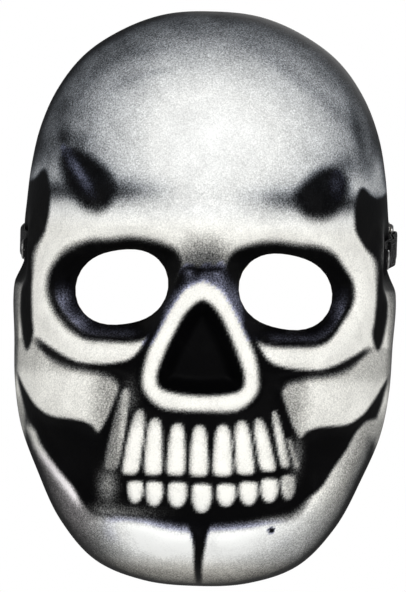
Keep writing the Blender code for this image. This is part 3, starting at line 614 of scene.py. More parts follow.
def joinSkins():
    rearY, wall, centre = skin["rearY"], skin["wall"], skin["centreZ"]
    outer, x, z, rim = skinGrid("maskSkin", skin["outerCells"])
    places = skinSurface(x, z, fullRelief)
    places[rim, 1] = rearY
    movePlaces(outer, places)
    white, tint = paintSkin(x, places[:, 1], z)
    storeValues(outer, "white", white)
    storeValues(outer, "tint", tint)
    storeValues(outer, "bare", np.zeros(len(x)))
    cutEyes(outer, x, z, fullRelief, 0)
    print("outer skin moulded and painted")

    columns, rows = skin["innerCells"][0] + 1, skin["innerCells"][1] + 1
    inner, x, z, rim = skinGrid("innerSkin", skin["innerCells"])
    plain = skinSurface(x, z, hollows)
    smooth = skinSurface(x, z, lambda x, z: 0 * x).reshape(rows, columns, 3)
    normal = np.cross(np.gradient(smooth, axis=1), np.gradient(smooth, axis=0)).reshape(-1, 3)
    places = plain - wall * normal / np.linalg.norm(normal, axis=1, keepdims=True)
    radial = plain[rim] * (1, 0, 1) - (0, 0, centre)
    radial /= np.linalg.norm(radial, axis=1, keepdims=True)
    places[rim] = plain[rim] - wall * radial
    places[rim, 1] = rearY
    places[:, 1] = np.minimum(places[:, 1], rearY)
    movePlaces(inner, places)
    storeValues(inner, "white", np.full(len(x), 0.9))
    storeValues(inner, "tint", np.ones((len(x), 3)))
    storeValues(inner, "bare", np.ones(len(x)))
    cutEyes(inner, x, z, hollows, wall)

    firstCount = len(outer.data.vertices)
    useOnly(outer, inner)
    bpy.ops.object.join()
    eye = skin["eye"]
    for side in (1, -1):
        stitchLoops(outer, eyeLoop(outer, side), firstCount, (eye["x"] * side, eye["z"]))
    stitchLoops(outer, openEdges(outer), firstCount, (0, centre))
    outwardNormals(outer)
    boreThrough(outer, skin["rivetHole"])
    useOnly(outer)
    bpy.ops.object.shade_smooth_by_angle(angle=math.radians(60))
    print("skin closed:", len(outer.data.polygons), "faces,", len(openEdges(outer)), "open edges")
    return outer


maskSkin = joinSkins()


# material helpers

def newFinish(name):
    made = bpy.data.materials.new(name)
    made.use_nodes = True
    tree = made.node_tree
    return made, tree, tree.nodes["Principled BSDF"]


def feed(tree, node, inputs):  # links what comes from a node, and sets what is a plain value
    for place, value in dict(inputs).items():
        if isinstance(value, bpy.types.NodeSocket):
            tree.links.new(value, node.inputs[place])
        else:
            node.inputs[place].default_value = value


def addNode(tree, kind, inputs=(), **settings):
    node = tree.nodes.new("ShaderNode" + kind)
    for name, value in settings.items():
        setattr(node, name, value)
    feed(tree, node, inputs)
    return node


def sumOf(tree, operation, *values, clamp=False):
    return addNode(tree, "Math", enumerate(values), operation=operation, use_clamp=clamp).outputs[0]


def mixColour(tree, share, first, second, kind="MIX"):
    node = addNode(tree, "Mix", {0: share, 6: first, 7: second}, data_type="RGBA", blend_type=kind)
    return node.outputs[2]


def noiseAt(tree, where, scale, detail=2.0, roughness=0.5, distortion=0.0):
    return addNode(tree, "TexNoise", {"Vector": where, "Scale": scale, "Detail": detail,
                                      "Roughness": roughness, "Distortion": distortion}).outputs[0]


def bumpFrom(tree, height, distance, strength=1.0, under=None):
    inputs = {"Height": height, "Distance": distance, "Strength": strength}
    if under is not None:
        inputs["Normal"] = under
    return addNode(tree, "Bump", inputs).outputs[0]


def rangeOf(tree, value, low, high, toLow=0.0, toHigh=1.0):
    return addNode(tree, "MapRange", {0: value, 1: low, 2: high, 3: toLow, 4: toHigh}).outputs[0]


def attributeOf(tree, name, output="Fac"):
    return addNode(tree, "Attribute", attribute_name=name).outputs[output]


latexPaint = {
    "grainScale": 1450.0, "grain": 0.75, "blotchScale": 160.0, "blotch": 0.12,
    "mottleScale": 55.0, "mottle": 0.20,
    "whitest": (0.88, 0.885, 0.87, 1), "blackest": (0.0008, 0.0008, 0.001, 1),
    "bareLatex": (0.62, 0.58, 0.48, 1), "bareStain": (0.45, 0.41, 0.33, 1),
}


def finishLatex():
    made, tree, shader = newFinish("paintedLatex")
    where = addNode(tree, "TexCoord").outputs["Object"]
    white, tint = attributeOf(tree, "white"), attributeOf(tree, "tint", "Color")
    grain = noiseAt(tree, where, latexPaint["grainScale"], 1.0, 0.6)
    blotch = noiseAt(tree, where, latexPaint["blotchScale"], 3.0, 0.6)
    # airbrush stipple shows most where the paint is half covered
    spread = sumOf(tree, "MULTIPLY", white, sumOf(tree, "SUBTRACT", 1.02, white))
    spread = sumOf(tree, "MULTIPLY", sumOf(tree, "POWER", spread, 0.7), 0.7)
    stipple = sumOf(tree, "MULTIPLY", sumOf(tree, "SUBTRACT", grain, 0.5), latexPaint["grain"] * 4)
    drift = sumOf(tree, "MULTIPLY", sumOf(tree, "SUBTRACT", blotch, 0.5), latexPaint["blotch"] * 4)
    change = sumOf(tree, "MULTIPLY", spread, sumOf(tree, "ADD", stipple, drift))
    mottle = sumOf(tree, "SUBTRACT", noiseAt(tree, where, latexPaint["mottleScale"], 3.0, 0.7, 0.8), 0.5)
    change = sumOf(tree, "ADD", change, sumOf(tree, "MULTIPLY", mottle, latexPaint["mottle"]))
    seen = sumOf(tree, "ADD", white, change, clamp=True)
    light = sumOf(tree, "POWER", seen, 2.2)
    colour = mixColour(tree, light, latexPaint["blackest"], latexPaint["whitest"])
    colour = mixColour(tree, 1.0, colour, tint, "MULTIPLY")
    stain = rangeOf(tree, noiseAt(tree, where, 45.0, 4.0, 0.6), 0.42, 0.68)
    bareColour = mixColour(tree, stain, latexPaint["bareLatex"], latexPaint["bareStain"])
    bare = sumOf(tree, "ADD", attributeOf(tree, "bare"),
                 sumOf(tree, "MULTIPLY", sumOf(tree, "SUBTRACT", blotch, 0.5), 0.5))
    colour = mixColour(tree, rangeOf(tree, bare, 0.35, 0.65), colour, bareColour)
    rough = rangeOf(tree, sumOf(tree, "ADD", seen, sumOf(tree, "MULTIPLY", grain, 0.4)),
                    0.0, 1.4, 0.50, 0.66)
    skinBump = bumpFrom(tree, blotch, 0.00035, 0.5)
    feed(tree, shader, {"Base Color": colour, "Roughness": rough, "Specular IOR Level": 0.03,
                        "Normal": bumpFrom(tree, grain, 0.00010, 0.5, skinBump)})
    return made


maskSkin.data.materials.clear()
maskSkin.data.materials.append(finishLatex())
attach(maskSkin, "mask")
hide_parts("mask_shell")


# foam pads inside the brow and the cheeks, swelled a little as foam is

foam = {
    "pieces": {"foreheadPad": "forehead_pad", "leftCheekPad": "left_cheek_pad",
               "rightCheekPad": "right_cheek_pad"},
    "shrink": 0.55, "voxel": 1.5, "pressure": 4.0, "frames": 20, "mostSwell": 0.5,
    "cellScale": 1500.0, "light": (0.075, 0.075, 0.08, 1), "dark": (0.022, 0.022, 0.025, 1),
}


def makePad(name, node):
    pad = frame["nodes"][node].copy()
    pad.data = pad.data.copy()
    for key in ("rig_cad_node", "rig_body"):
        del pad[key]
    bpy.context.scene.collection.objects.link(pad)
    pad.parent, pad.name, pad.data.name = None, name, name
    useOnly(pad)
    bpy.ops.object.mode_set(mode="EDIT")
    bpy.ops.mesh.select_all(action="SELECT")
    bpy.ops.mesh.remove_doubles(threshold=0.00001)
    bpy.ops.mesh.normals_make_consistent(inside=False)
    bpy.ops.object.mode_set(mode="OBJECT")
    pad.data.remesh_voxel_size = foam["voxel"] * mm
    bpy.ops.object.voxel_remesh()
    smooth = pad.modifiers.new("evened", "SMOOTH")
    smooth.factor, smooth.iterations = 0.5, 3
    applyAll(pad)
    normals = np.array([vertex.normal for vertex in pad.data.vertices])
    start = placesOf(pad) - normals * foam["shrink"]
    movePlaces(pad, start)
    cloth = pad.modifiers.new("swell", "CLOTH")
    cloth.settings.use_pressure = True
    cloth.settings.uniform_pressure_force = foam["pressure"]
    cloth.settings.effector_weights.gravity = 0
    for step in range(1, foam["frames"] + 1):
        bpy.context.scene.frame_set(step)
    seen = pad.evaluated_get(bpy.context.evaluated_depsgraph_get()).to_mesh()
    swelled = np.array([vertex.co for vertex in seen.vertices]) / mm
    pad.modifiers.remove(cloth)
    bpy.context.scene.frame_set(1)
    move = swelled - start
    length = np.maximum(np.linalg.norm(move, axis=1, keepdims=True), 1e-6)
    movePlaces(pad, start + move * np.minimum(1, foam["mostSwell"] / length))
    finer = pad.modifiers.new("finer", "SUBSURF")
    finer.levels = finer.render_levels = 1
    applyAll(pad)
    bpy.ops.object.shade_smooth()
    return pad


def finishFoam():
    made, tree, shader = newFinish("cellFoam")
    where = addNode(tree, "TexCoord").outputs["Object"]
    cells = addNode(tree, "TexVoronoi", {"Vector": where, "Scale": foam["cellScale"]},
                    feature="F1").outputs["Distance"]
    patches = noiseAt(tree, where, 90.0, 3.0)
    shade = sumOf(tree, "MULTIPLY", rangeOf(tree, cells, 0.05, 0.6),
                  rangeOf(tree, patches, 0.3, 0.7, 0.6, 1.0))
    colour = mixColour(tree, shade, foam["dark"], foam["light"])
    under = bumpFrom(tree, patches, 0.0006, 0.5)
    feed(tree, shader, {"Base Color": colour, "Roughness": 0.95, "Specular IOR Level": 0.15,
                        "Normal": bumpFrom(tree, cells, 0.00035, 0.9, under)})
    return made


foamFinish = finishFoam()
for padName, padNode in foam["pieces"].items():
    pad = makePad(padName, padNode)
    pad.data.materials.clear()
    pad.data.materials.append(foamFinish)
    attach(pad, "mask")
    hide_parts(padNode)
print("foam pads swelled")


# rivets: turned cap, post, washer and cloth patch on each side

rivet = {
    "steps": 64, "bore": 1.05, "shank": 1.6, "pin": 0.75, "cap": 4.5, "capHeight": 1.4,
    "headX": 81.8, "shankEndX": 75.5, "postEndX": 81.3, "flangeX": 75.2, "flange": 0.9,
    "washerX": 76.1, "washer": 0.6, "washerRadius": 6.0, "hole": 1.9,
    "patchX": 77.2, "patch": 0.8, "patchRadius": 8.0,
}


def turnPiece(name, profile, side, closed):
    points = [(x * side * mm, 0, radius * mm) for x, radius in profile]
    edges = [(i, i + 1) for i in range(len(points) - 1)]
    mesh = bpy.data.meshes.new(name)
    mesh.from_pydata(points, edges + ([(len(points) - 1, 0)] if closed else []), [])
    piece = bpy.data.objects.new(name, mesh)
    bpy.context.scene.collection.objects.link(piece)
    useOnly(piece)
    bpy.ops.object.mode_set(mode="EDIT")
    bpy.ops.mesh.select_all(action="SELECT")
    bpy.ops.mesh.spin(steps=rivet["steps"], angle=2 * math.pi, center=(0, 0, 0), axis=(1, 0, 0))
    bpy.ops.mesh.select_all(action="SELECT")
    bpy.ops.mesh.remove_doubles(threshold=0.000002)
    bpy.ops.mesh.normals_make_consistent(inside=False)
    bpy.ops.object.mode_set(mode="OBJECT")
    bpy.ops.object.shade_smooth_by_angle(angle=math.radians(35))
    return piece


def capProfile():
    head, radius, high = rivet["headX"], rivet["cap"], rivet["capHeight"]
    rows = [(head, 0), (head, rivet["bore"]), (rivet["shankEndX"], rivet["bore"]),
            (rivet["shankEndX"], rivet["shank"]), (head, rivet["shank"]), (head, radius - 0.3),
            (head + 0.10, radius - 0.08), (head + 0.28, radius), (head + 0.46, radius - 0.07)]
    for t in np.linspace(0.12, 1, 10):
        rows.append((head + 0.5 + (high - 0.5) * math.sin(t * math.pi / 2),
                     (radius - 0.12) * math.cos(t * math.pi / 2)))
    dimple = [(x - 0.13 * math.exp(-((r - 2.3) / 0.35) ** 2), max(r, 0)) for x, r in rows[9:]]
    dimple[-1] = (dimple[-1][0], 0)
    return rows[:9] + dimple


def postProfile():
    x, thick, radius = rivet["flangeX"], rivet["flange"], rivet["cap"]
    return [(x - thick + 0.35, 0), (x - thick + 0.30, 1.1), (x - thick, 1.6),
            (x - thick, radius - 0.45), (x - thick + 0.12, radius - 0.18),
            (x - thick + 0.35, radius), (x - 0.2, radius), (x, radius - 0.12),
            (x, rivet["pin"]), (rivet["postEndX"], rivet["pin"]), (rivet["postEndX"], 0)]


def ringProfile(x, thick, outer, ease):
    inner = rivet["hole"]
    return [(x, inner + ease), (x, outer - ease), (x - ease, outer), (x - thick + ease, outer),
            (x - thick, outer - ease), (x - thick, inner + ease), (x - thick + ease, inner),
            (x - ease, inner)]


metalTone = {"light": (0.34, 0.335, 0.33, 1), "dark": (0.14, 0.138, 0.136, 1)}


def finishNickel():
    made, tree, shader = newFinish("platedNickel")
    where = addNode(tree, "TexCoord").outputs["Object"]
    worn = noiseAt(tree, where, 420.0, 4.0, 0.65)
    scratch = noiseAt(tree, addNode(tree, "Mapping", {"Vector": where, "Scale": (6, 1, 1)}).outputs[0],
                      900.0, 2.0)
    colour = mixColour(tree, rangeOf(tree, worn, 0.35, 0.7), metalTone["light"], metalTone["dark"])
    feed(tree, shader, {"Base Color": colour, "Metallic": 1.0,
                        "Roughness": rangeOf(tree, worn, 0.3, 0.75, 0.24, 0.46),
                        "Normal": bumpFrom(tree, scratch, 0.00004, 0.5)})
    return made


def finishPatch():  # plain-woven cotton, the threads running up and across
    made, tree, shader = newFinish("wovenPatch")
    where = addNode(tree, "TexCoord").outputs["Object"]
    parts = addNode(tree, "SeparateXYZ", {0: where}).outputs
    along = sumOf(tree, "MULTIPLY", parts[1], 2 * math.pi / 0.0009)
    up = sumOf(tree, "MULTIPLY", parts[2], 2 * math.pi / 0.0009)
    weave = sumOf(tree, "MULTIPLY", sumOf(tree, "SINE", along), sumOf(tree, "SINE", up))
    fuzz = noiseAt(tree, where, 1800.0, 3.0)
    high = sumOf(tree, "ADD", sumOf(tree, "MULTIPLY", weave, 0.35), fuzz)
    # the colour follows the weave height: lighter on the raised crossings and darker between the
    # threads, a painted shade
    colour = mixColour(tree, rangeOf(tree, high, 0.1, 0.95), (0.012, 0.012, 0.014, 1),
                       (0.050, 0.050, 0.056, 1))
    feed(tree, shader, {"Base Color": colour, "Roughness": 0.9, "Sheen Weight": 0.2,
                        "Normal": bumpFrom(tree, high, 0.00015, 0.8)})
    return made


def finishPiece(piece, finish, body, slotName, *nodes):
    piece.data.materials.clear()
    piece.data.materials.append(finish)
    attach(piece, body)
    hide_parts(*nodes)


nickel, patchCloth = finishNickel(), finishPatch()
for side, word in ((1, "right"), (-1, "left")):
    cap = turnPiece(word + "RivetCap", capProfile(), side, False)
    finishPiece(cap, nickel, "mask", "nickel", word + "_rivet_cap")
    post = turnPiece(word + "RivetPost", postProfile(), side, False)
    finishPiece(post, nickel, "mask", "nickel", word + "_rivet_post")
    washer = turnPiece(word + "Washer", ringProfile(rivet["washerX"], rivet["washer"],
                                                    rivet["washerRadius"], 0.12), side, True)
    finishPiece(washer, nickel, "mask", "nickel", word + "_washer")
    patch = turnPiece(word + "AnchorPatch", ringProfile(rivet["patchX"], rivet["patch"],
                                                        rivet["patchRadius"], 0.2), side, True)
    finishPiece(patch, patchCloth, "mask", "patch_cloth", word + "_anchor_patch")
print("rivets turned")


# head strap: woven elastic, folded tab, ring, adjuster and stitching

strap = {
    "width": 12.5, "thick": 1.2, "tip": 6.5, "riseS": 9.5, "rimS": 25.5, "slope": 10.0,
    "seatX": 80.3, "rimX": 83.6, "runS": 28.0, "run": 80.0, "lean": 8.5, "backS": 166.0,
    "backPull": 36.0, "plyGap": 0.4, "gap": 0.3, "step": 0.8, "across": 12,
    "ringA": 18.0, "ringHalfLength": 4.2, "ringHalfWidth": 8.3, "wire": 1.2, "corner": 2.2,
    "tabEndS": 13.0, "tailEndA": 77.0,
}
half, ply = strap["thick"] / 2, strap["thick"] + strap["plyGap"]
lean, slope = math.radians(strap["lean"]), math.radians(strap["slope"])
runPlace = (Matrix.Rotation(slope, 4, "X")
            @ Matrix.Translation((strap["rimX"] * mm, strap["runS"] * mm, 0))
            @ Matrix.Rotation(lean, 4, "Z"))


def onRun(points):
    return [(strap["runS"] + a * math.cos(lean) + out * math.sin(lean),
             strap["rimX"] - a * math.sin(lean) + out * math.cos(lean)) for a, out in points]


def arcPoints(middle, radius, start, end, steps=16):
    return [(middle[0] + radius * math.cos(t), middle[1] + radius * math.sin(t))
            for t in np.radians(np.linspace(start, end, steps + 1))]


def risePoints(s0, x0, s1, x1, steps=16):
    return [(s0 + (s1 - s0) * t, x0 + (x1 - x0) * float(smoothStep(0, 1, t)))
            for t in np.linspace(0, 1, steps + 1)]


def headBend(steps=60):
    (s0, x0), = onRun([(strap["run"], half)])
    pull = strap["backPull"]
    corners = np.array([(s0, x0), (s0 + pull * math.cos(lean), x0 - pull * math.sin(lean)),
                        (strap["backS"], pull), (strap["backS"], 0)])
    rows = []
    for t in np.linspace(0, 1, steps + 1):
        weights = np.array([(1 - t) ** 3, 3 * t * (1 - t) ** 2, 3 * t * t * (1 - t), t ** 3])
        rows.append(tuple(weights @ corners))
    return rows


def seatPoints():
    seat, rim = strap["seatX"] + half, strap["rimX"] + half
    return ([(-strap["tip"], seat), (0, seat), (strap["riseS"] - 1, seat)]
            + risePoints(strap["riseS"], seat, strap["rimS"], rim))


def bandLine():
    left = seatPoints() + onRun([(3, half), (strap["run"] / 2, half)]) + headBend()
    line = [(s, -x) for s, x in left] + headBend()[-2::-1]
    rear = strap["ringA"] + strap["ringHalfLength"]
    bend = strap["wire"] + strap["gap"] + half
    outer = half + ply
    line += onRun([(strap["run"] / 2, half)] + arcPoints((rear, half + bend), bend, 270, 90))
    line += onRun(risePoints(rear - 1, half + 2 * bend, rear + 9, outer)[1:])
    return line + onRun([(strap["run"] / 2, outer), (strap["tailEndA"], outer)])


def tabLine():
    front = strap["ringA"] - strap["ringHalfLength"]
    bend = strap["wire"] + strap["gap"] + half
    line = seatPoints() + onRun([(3, half)])
    line += onRun(arcPoints((front, half + bend), bend, -90, 90))
    line += onRun(risePoints(3, half + ply, front - 1, half + 2 * bend, 10)[::-1])
    back = risePoints(strap["riseS"] - 0.4, strap["seatX"] + half + ply,
                      strap["rimS"] - 0.6, strap["rimX"] + half + ply, 40)
    return line + [point for point in back[::-1] if point[0] > strap["tabEndS"]]


def alongLine(line, at):  # place and outward direction at distances along a line
    line = np.array(line)
    gone = np.r_[0, np.cumsum(np.linalg.norm(np.diff(line, axis=0), axis=1))]
    keep = np.r_[True, np.diff(gone) > 1e-6]
    line, gone = line[keep], gone[keep]
    s, x = np.interp(at, gone, line[:, 0]), np.interp(at, gone, line[:, 1])
    ahead = np.stack([np.interp(at + 0.4, gone, line[:, k]) - np.interp(at - 0.4, gone, line[:, k])
                      for k in (0, 1)], -1)
    ahead /= np.linalg.norm(ahead, axis=1, keepdims=True)
    return s, x, -ahead[:, 1], ahead[:, 0], gone[-1]


def makeRibbon(name, line):
    length = alongLine(line, np.zeros(1))[4]
    steps = int(length / strap["step"])
    bpy.ops.mesh.primitive_grid_add(x_subdivisions=steps, y_subdivisions=strap["across"], size=2,
                                    calc_uvs=True)
    piece = nameActive(name)
    flat = placesOf(piece) * mm
    at, across = (flat[:, 0] + 1) / 2 * length, flat[:, 1]
    s, x = alongLine(line, at)[:2]
    wide = across * (strap["width"] / 2 - 0.15) + 0.05 * np.sin(at * 0.35) * across
    y, z = s * math.cos(slope) - wide * math.sin(slope), s * math.sin(slope) + wide * math.cos(slope)
    movePlaces(piece, np.stack([x, y, z], -1))
    corners = np.empty(len(piece.data.loops), int)
    piece.data.loops.foreach_get("vertex_index", corners)
    piece.data.uv_layers[0].data.foreach_set(
        "uv", np.stack([at, across * strap["width"] / 2], -1)[corners].ravel() / 10)
    group = piece.vertex_groups.new(name="thick")
    for weight in np.unique(np.round(across, 4)):
        share = 1.0 if abs(weight) < 0.95 else 0.62
        rows = np.flatnonzero(np.round(across, 4) == weight)
        group.add(rows.tolist(), share * (1 - 0.05 * (int(round((weight + 1) * 6)) % 2)), "REPLACE")
    solid = piece.modifiers.new("ply", "SOLIDIFY")
    solid.thickness, solid.offset, solid.vertex_group = strap["thick"] * mm, 0, "thick"
    applyAll(piece)
    outwardNormals(piece)
    boreThrough(piece, rivet["hole"])
    useOnly(piece)
    bpy.ops.object.shade_smooth_by_angle(angle=math.radians(60))
    return piece


elasticWeave = {"rib": 1.05, "pick": 0.62, "light": (0.011, 0.011, 0.012, 1),
                "dark": (0.0012, 0.0012, 0.0014, 1)}


def finishElastic():
    made, tree, shader = newFinish("wovenElastic")
    uv = addNode(tree, "UVMap").outputs[0]
    parts = addNode(tree, "SeparateXYZ", {0: uv}).outputs
    cord = sumOf(tree, "MULTIPLY", parts[1], 10 / elasticWeave["rib"])
    rib = sumOf(tree, "ABSOLUTE", sumOf(tree, "SINE", sumOf(tree, "MULTIPLY", cord, math.pi)))
    stagger = sumOf(tree, "MULTIPLY", sumOf(tree, "FLOOR", cord), math.pi)
    pick = sumOf(tree, "SINE", sumOf(tree, "ADD", stagger, sumOf(
        tree, "MULTIPLY", parts[0], 10 * 2 * math.pi / elasticWeave["pick"])))
    where = addNode(tree, "TexCoord").outputs["Object"]
    fuzz = noiseAt(tree, where, 2200.0, 2.0)
    high = sumOf(tree, "ADD", sumOf(tree, "MULTIPLY", rib, sumOf(
        tree, "ADD", sumOf(tree, "MULTIPLY", pick, 0.28), 0.6)), sumOf(tree, "MULTIPLY", fuzz, 0.3))
    # the colour follows the rib height: lighter on the rib tops and darker in the grooves, a painted
    # shade in the grooves
    colour = mixColour(tree, rangeOf(tree, high, 0.15, 1.1), elasticWeave["dark"],
                       elasticWeave["light"])
    feed(tree, shader, {"Base Color": colour, "Roughness": 0.82, "Specular IOR Level": 0.1,
                        "Sheen Weight": 0.04, "Normal": bumpFrom(tree, high, 0.00022, 0.9)})
    return made


def makeRing():
    path = []
    innerA, innerW = (strap["ringHalfLength"] - strap["corner"],
                      strap["ringHalfWidth"] - strap["corner"])
    out = strap["thick"] + strap["gap"] + strap["wire"]
    for turn, (a, w) in enumerate(((1, 1), (-1, 1), (-1, -1), (1, -1))):
        path += [(out, place[0], place[1]) for place in arcPoints(
            (strap["ringA"] + a * innerA, w * innerW), strap["corner"], 90 * turn, 90 * turn + 90, 8)]
    curve = bpy.data.curves.new("bandRing", "CURVE")
    curve.dimensions, curve.bevel_depth, curve.bevel_resolution = "3D", strap["wire"] * mm, 6
    spline = curve.splines.new("POLY")
    spline.points.add(len(path) - 1)
    for point, place in zip(spline.points, path):
        point.co = (*(Vector(place) * mm), 1)
    spline.use_cyclic_u = True
    ring = bpy.data.objects.new("bandRing", curve)
    bpy.context.scene.collection.objects.link(ring)
    useOnly(ring)
    bpy.ops.object.convert(target="MESH")
    ring = bpy.context.active_object
    places = placesOf(ring)  # a slight swelling where the wire's ends were welded
    weld = np.exp(-((places[:, 1] - strap["ringA"]) / 0.9) ** 2) * (places[:, 2] > 5)
    middle = np.array([out, strap["ringA"], strap["ringHalfWidth"]])
    away = places - middle
    away[:, 1] = 0
    movePlaces(ring, places + away * (0.10 * weld)[:, None])
    ring.data.transform(runPlace)
    outwardNormals(ring)
    bpy.ops.object.shade_smooth()
    return ring


glide = {"a": 49.0, "length": 15.0, "width": 18.5, "bar": 1.3, "centreBar": 4.4, "endBar": 3.2,
         "round": 0.55, "edge": 0.3}


def blockBetween(name, low, high):
    bpy.ops.mesh.primitive_cube_add(size=1)
    block = nameActive(name)
    low, high = np.array(low, float), np.array(high, float)
    movePlaces(block, placesOf(block) * mm * (high - low) + (high + low) / 2)
    return block


def roundEdges(piece, width, segments, angle):
    bevel = piece.modifiers.new("rounded", "BEVEL")
    bevel.width, bevel.segments, bevel.limit_method = width * mm, segments, "ANGLE"
    bevel.angle_limit = math.radians(angle)
    bevel.use_clamp_overlap = True
    applyAll(piece)


def makeGlide():
    low = -strap["gap"] - glide["bar"]
    high = 2 * strap["thick"] + strap["plyGap"] + strap["gap"] + glide["bar"]
    a, halfL, halfW, bar = glide["a"], glide["length"] / 2, glide["width"] / 2, glide["bar"]
    channel = strap["width"] / 2 + strap["gap"]
    body = blockBetween("triGlide", (low, a - halfL, -halfW), (high, a + halfL, halfW))
    roundEdges(body, glide["round"], 4, 40)
    windows = [((low + bar, a - halfL - 1, -channel), (high - bar, a + halfL + 1, channel)),
               ((low - 1, a - halfL + glide["endBar"], -channel),
                (low + bar + 1, a + halfL - glide["endBar"], channel)),
               ((high - bar - 1, a + glide["centreBar"] / 2, -channel),
                (high + 1, a + halfL + 1, channel)),
               ((high - bar - 1, a - halfL - 1, -channel),
                (high + 1, a - glide["centreBar"] / 2, channel))]
    for place in windows:
        cutter = blockBetween("cutter", *place)
        opening = body.modifiers.new("opening", "BOOLEAN")
        opening.operation, opening.solver, opening.object = "DIFFERENCE", "EXACT", cutter
        applyAll(body)
        bpy.data.objects.remove(cutter)
    roundEdges(body, glide["edge"], 2, 60)
    body.data.transform(runPlace)
    outwardNormals(body)
    bpy.ops.object.shade_smooth_by_angle(angle=math.radians(35))
    return body


def finishPlastic():
    made, tree, shader = newFinish("mouldedPlastic")
    where = addNode(tree, "TexCoord").outputs["Object"]
    spark = noiseAt(tree, where, 2600.0, 2.0)
    scuff = noiseAt(tree, where, 240.0, 4.0, 0.7)
    colour = mixColour(tree, rangeOf(tree, scuff, 0.45, 0.75), (0.008, 0.008, 0.009, 1),
                       (0.028, 0.028, 0.030, 1))
    feed(tree, shader, {"Base Color": colour,
                        "Roughness": rangeOf(tree, scuff, 0.3, 0.7, 0.36, 0.55),
                        "Normal": bumpFrom(tree, spark, 0.00006, 0.6)})
    return made


def finishThread():
    made, tree, shader = newFinish("blackThread")
    where = addNode(tree, "TexCoord").outputs["Object"]
    twist = addNode(tree, "TexWave", {"Vector": where, "Scale": 900.0, "Distortion": 2.0},
                    bands_direction="DIAGONAL").outputs[1]
    # the twist bands colour the thread lighter on the raised plies and darker between them, a painted
    # shade
    colour = mixColour(tree, twist, (0.010, 0.010, 0.011, 1), (0.055, 0.055, 0.060, 1))
    feed(tree, shader, {"Base Color": colour, "Roughness": 0.7,
                        "Normal": bumpFrom(tree, twist, 0.00006, 0.8)})
    return made


thread = {"radius": 0.24, "tackA": 73.0, "tackReach": 4.9, "tackStitches": 15,
          "rowFromEnd": (1.6, 8.6), "rowReach": 4.6, "rowStitches": 7}


def makeStitches(name, ends):  # each stitch runs from one point to another, in millimetres
    bpy.ops.mesh.primitive_uv_sphere_add(segments=8, ring_count=6, radius=1)
    plain, stitches = nameActive("stitch"), []
    for start, end in ends:
        start, end = Vector(start), Vector(end)
        stitch = plain.copy()
        stitch.data = plain.data.copy()
        bpy.context.scene.collection.objects.link(stitch)
        turn = (end - start).to_track_quat("Z", "Y").to_matrix().to_4x4()
        size = Matrix.Diagonal((thread["radius"] * mm, thread["radius"] * mm,
                                ((end - start).length / 2 + thread["radius"]) * mm, 1))
        stitch.data.transform(Matrix.Translation((start + end) / 2 * mm) @ turn @ size)
        stitches.append(stitch)
    bpy.data.objects.remove(plain)
    useOnly(*stitches)
    bpy.ops.object.join()
    bpy.ops.object.shade_smooth()
    return nameActive(name)


def tackEnds():
    out = 2 * strap["thick"] + strap["plyGap"] + strap["gap"] + 0.05
    w = np.linspace(-thread["tackReach"], thread["tackReach"], thread["tackStitches"] + 1)
    rows = []
    for k in range(thread["tackStitches"]):
        sign = 1 if k % 2 else -1
        pair = [Vector((out, thread["tackA"] + sign * 0.8, w[k])) * mm,
                Vector((out, thread["tackA"] - sign * 0.8, w[k + 1])) * mm]
        rows.append([(runPlace @ point) / mm for point in pair])
    return rows


def tabPoint(line, fromEnd, across):
    length = alongLine(line, np.zeros(1))[4]
    s, x, sideS, sideX, _ = alongLine(line, np.array([length - fromEnd]))
    lift = half + 0.08                      # the line runs back here, so outwards is turned round
    s, x = float(s[0] - sideS[0] * lift), float(x[0] - sideX[0] * lift)
    return (x, s * math.cos(slope) - across * math.sin(slope),
            s * math.sin(slope) + across * math.cos(slope))


def boxEnds():
    line, rows = tabLine(), []
    first, last = thread["rowFromEnd"]
    reach, count = thread["rowReach"], thread["rowStitches"]
    corners = ((first, -reach), (first, reach), (last, reach), (last, -reach), (first, -reach),
               (last, reach), (first, reach), (last, -reach))
    for start, end in ((0, 1), (1, 2), (2, 3), (3, 4), (4, 5), (6, 7)):
        (e0, w0), (e1, w1) = corners[start], corners[end]
        for k in range(count):
            t0, t1 = (k + 0.12) / count, (k + 0.88) / count
            rows.append((tabPoint(line, e0 + (e1 - e0) * t0, w0 + (w1 - w0) * t0),
                         tabPoint(line, e0 + (e1 - e0) * t1, w0 + (w1 - w0) * t1)))
    return rows


elastic, sewn = finishElastic(), finishThread()
band = makeRibbon("elasticBand", bandLine())
finishPiece(band, elastic, "strap", "elastic", "elastic_band")
tab = makeRibbon("ringTab", tabLine())
finishPiece(tab, elastic, "strap", "elastic", "ring_tab")
finishPiece(makeRing(), nickel, "strap", "nickel", "band_ring")
finishPiece(makeGlide(), finishPlastic(), "adjuster", "black_plastic", "tri_glide")
finishPiece(makeStitches("tailBarTack", tackEnds()), sewn, "strap", "thread", "tail_bar_tack")
tabStitching = makeStitches("tabStitching", boxEnds())
tabStitching.data.materials.clear()
tabStitching.data.materials.append(sewn)
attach(tabStitching, "strap")
print("strap woven and sewn")


# camera, studio

camera = {"distance": 2.5, "azimuth": 0.5, "roll": 1.7, "target": (-0.0006, 0.0, -0.0187),
          "lens": 337.5}


def setCamera():
    turn, away = math.radians(camera["azimuth"]), camera["distance"]
    target = Vector(camera["target"])
    place = target + Vector((math.sin(turn) * away, -math.cos(turn) * away, 0))
    bpy.ops.object.camera_add(location=place)
    made = nameActive("portraitCamera")
    look = (target - place).to_track_quat("-Z", "Y")
    roll = Matrix.Rotation(math.radians(camera["roll"]), 4, "Z")
    made.rotation_euler = (look.to_matrix().to_4x4() @ roll).to_euler()
    made.data.lens = camera["lens"]
    made.data.clip_start, made.data.clip_end = 0.05, 60
    bpy.context.scene.camera = made


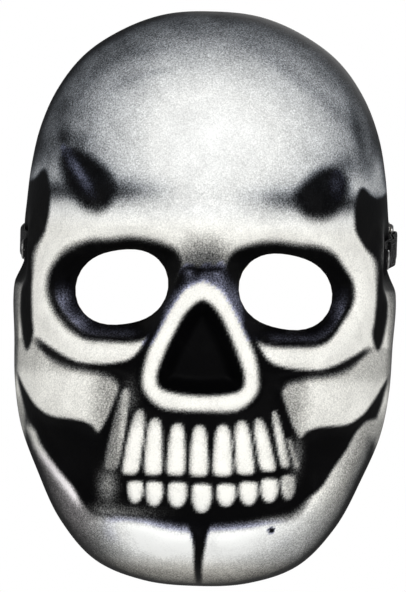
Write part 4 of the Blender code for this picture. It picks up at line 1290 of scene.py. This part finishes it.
studio = {
    "lamps": (("keyLamp", (-0.9, -1.9, 1.25), 1.3, 31.0), ("fillLamp", (1.2, -1.8, 0.6), 1.3, 20.0),
              ("lowLamp", (0.0, -1.6, -0.9), 1.0, 13.0), ("backLamp", (0.5, 1.9, 0.9), 1.2, 10.0),
              ("rightLamp", (2.2, 0.5, 0.5), 1.2, 11.0), ("leftLamp", (-2.2, 0.5, 0.5), 1.2, 11.0)),
    "world": 0.2, "backdrop": 1.0, "floorZ": -0.75,
    "floorGlow": 0.92, "floorShare": 0.85,
}


def setStudio():
    for name, place, size, power in studio["lamps"]:
        bpy.ops.object.light_add(type="AREA", location=place)
        lamp = nameActive(name)
        lamp.data.shape, lamp.data.size, lamp.data.energy = "DISK", size, power
        lamp.rotation_euler = (Vector((0, 0, -0.02)) - Vector(place)).to_track_quat(
            "-Z", "Y").to_euler()
    bpy.ops.mesh.primitive_plane_add(size=9, location=(0, 0, studio["floorZ"]))
    floor = nameActive("floor")
    made, tree, shader = newFinish("paleFloor")
    feed(tree, shader, {"Base Color": (0.86, 0.86, 0.85, 1), "Roughness": 0.8})
    paper = addNode(tree, "Emission", {0: (1, 1, 1, 1), 1: studio["floorGlow"]}).outputs[0]
    seen = sumOf(tree, "MULTIPLY", addNode(tree, "LightPath").outputs["Is Camera Ray"],
                 studio["floorShare"])
    both = addNode(tree, "MixShader", {0: seen, 1: shader.outputs[0], 2: paper}).outputs[0]
    tree.links.new(both, tree.nodes["Material Output"].inputs["Surface"])
    floor.data.materials.append(made)
    world = bpy.data.worlds.new("studioAir")
    bpy.context.scene.world = world
    world.use_nodes = True
    tree = world.node_tree
    tree.nodes.clear()
    seen = addNode(tree, "Background", {0: (1, 1, 1, 1), 1: studio["backdrop"]}).outputs[0]
    lit = addNode(tree, "Background", {0: (0.96, 0.98, 1, 1), 1: studio["world"]}).outputs[0]
    ray = addNode(tree, "LightPath").outputs["Is Camera Ray"]
    both = addNode(tree, "MixShader", {0: ray, 1: lit, 2: seen}).outputs[0]
    tree.links.new(both, addNode(tree, "OutputWorld").inputs["Surface"])
    bpy.context.scene.view_settings.view_transform = "Standard"


setCamera()
setStudio()
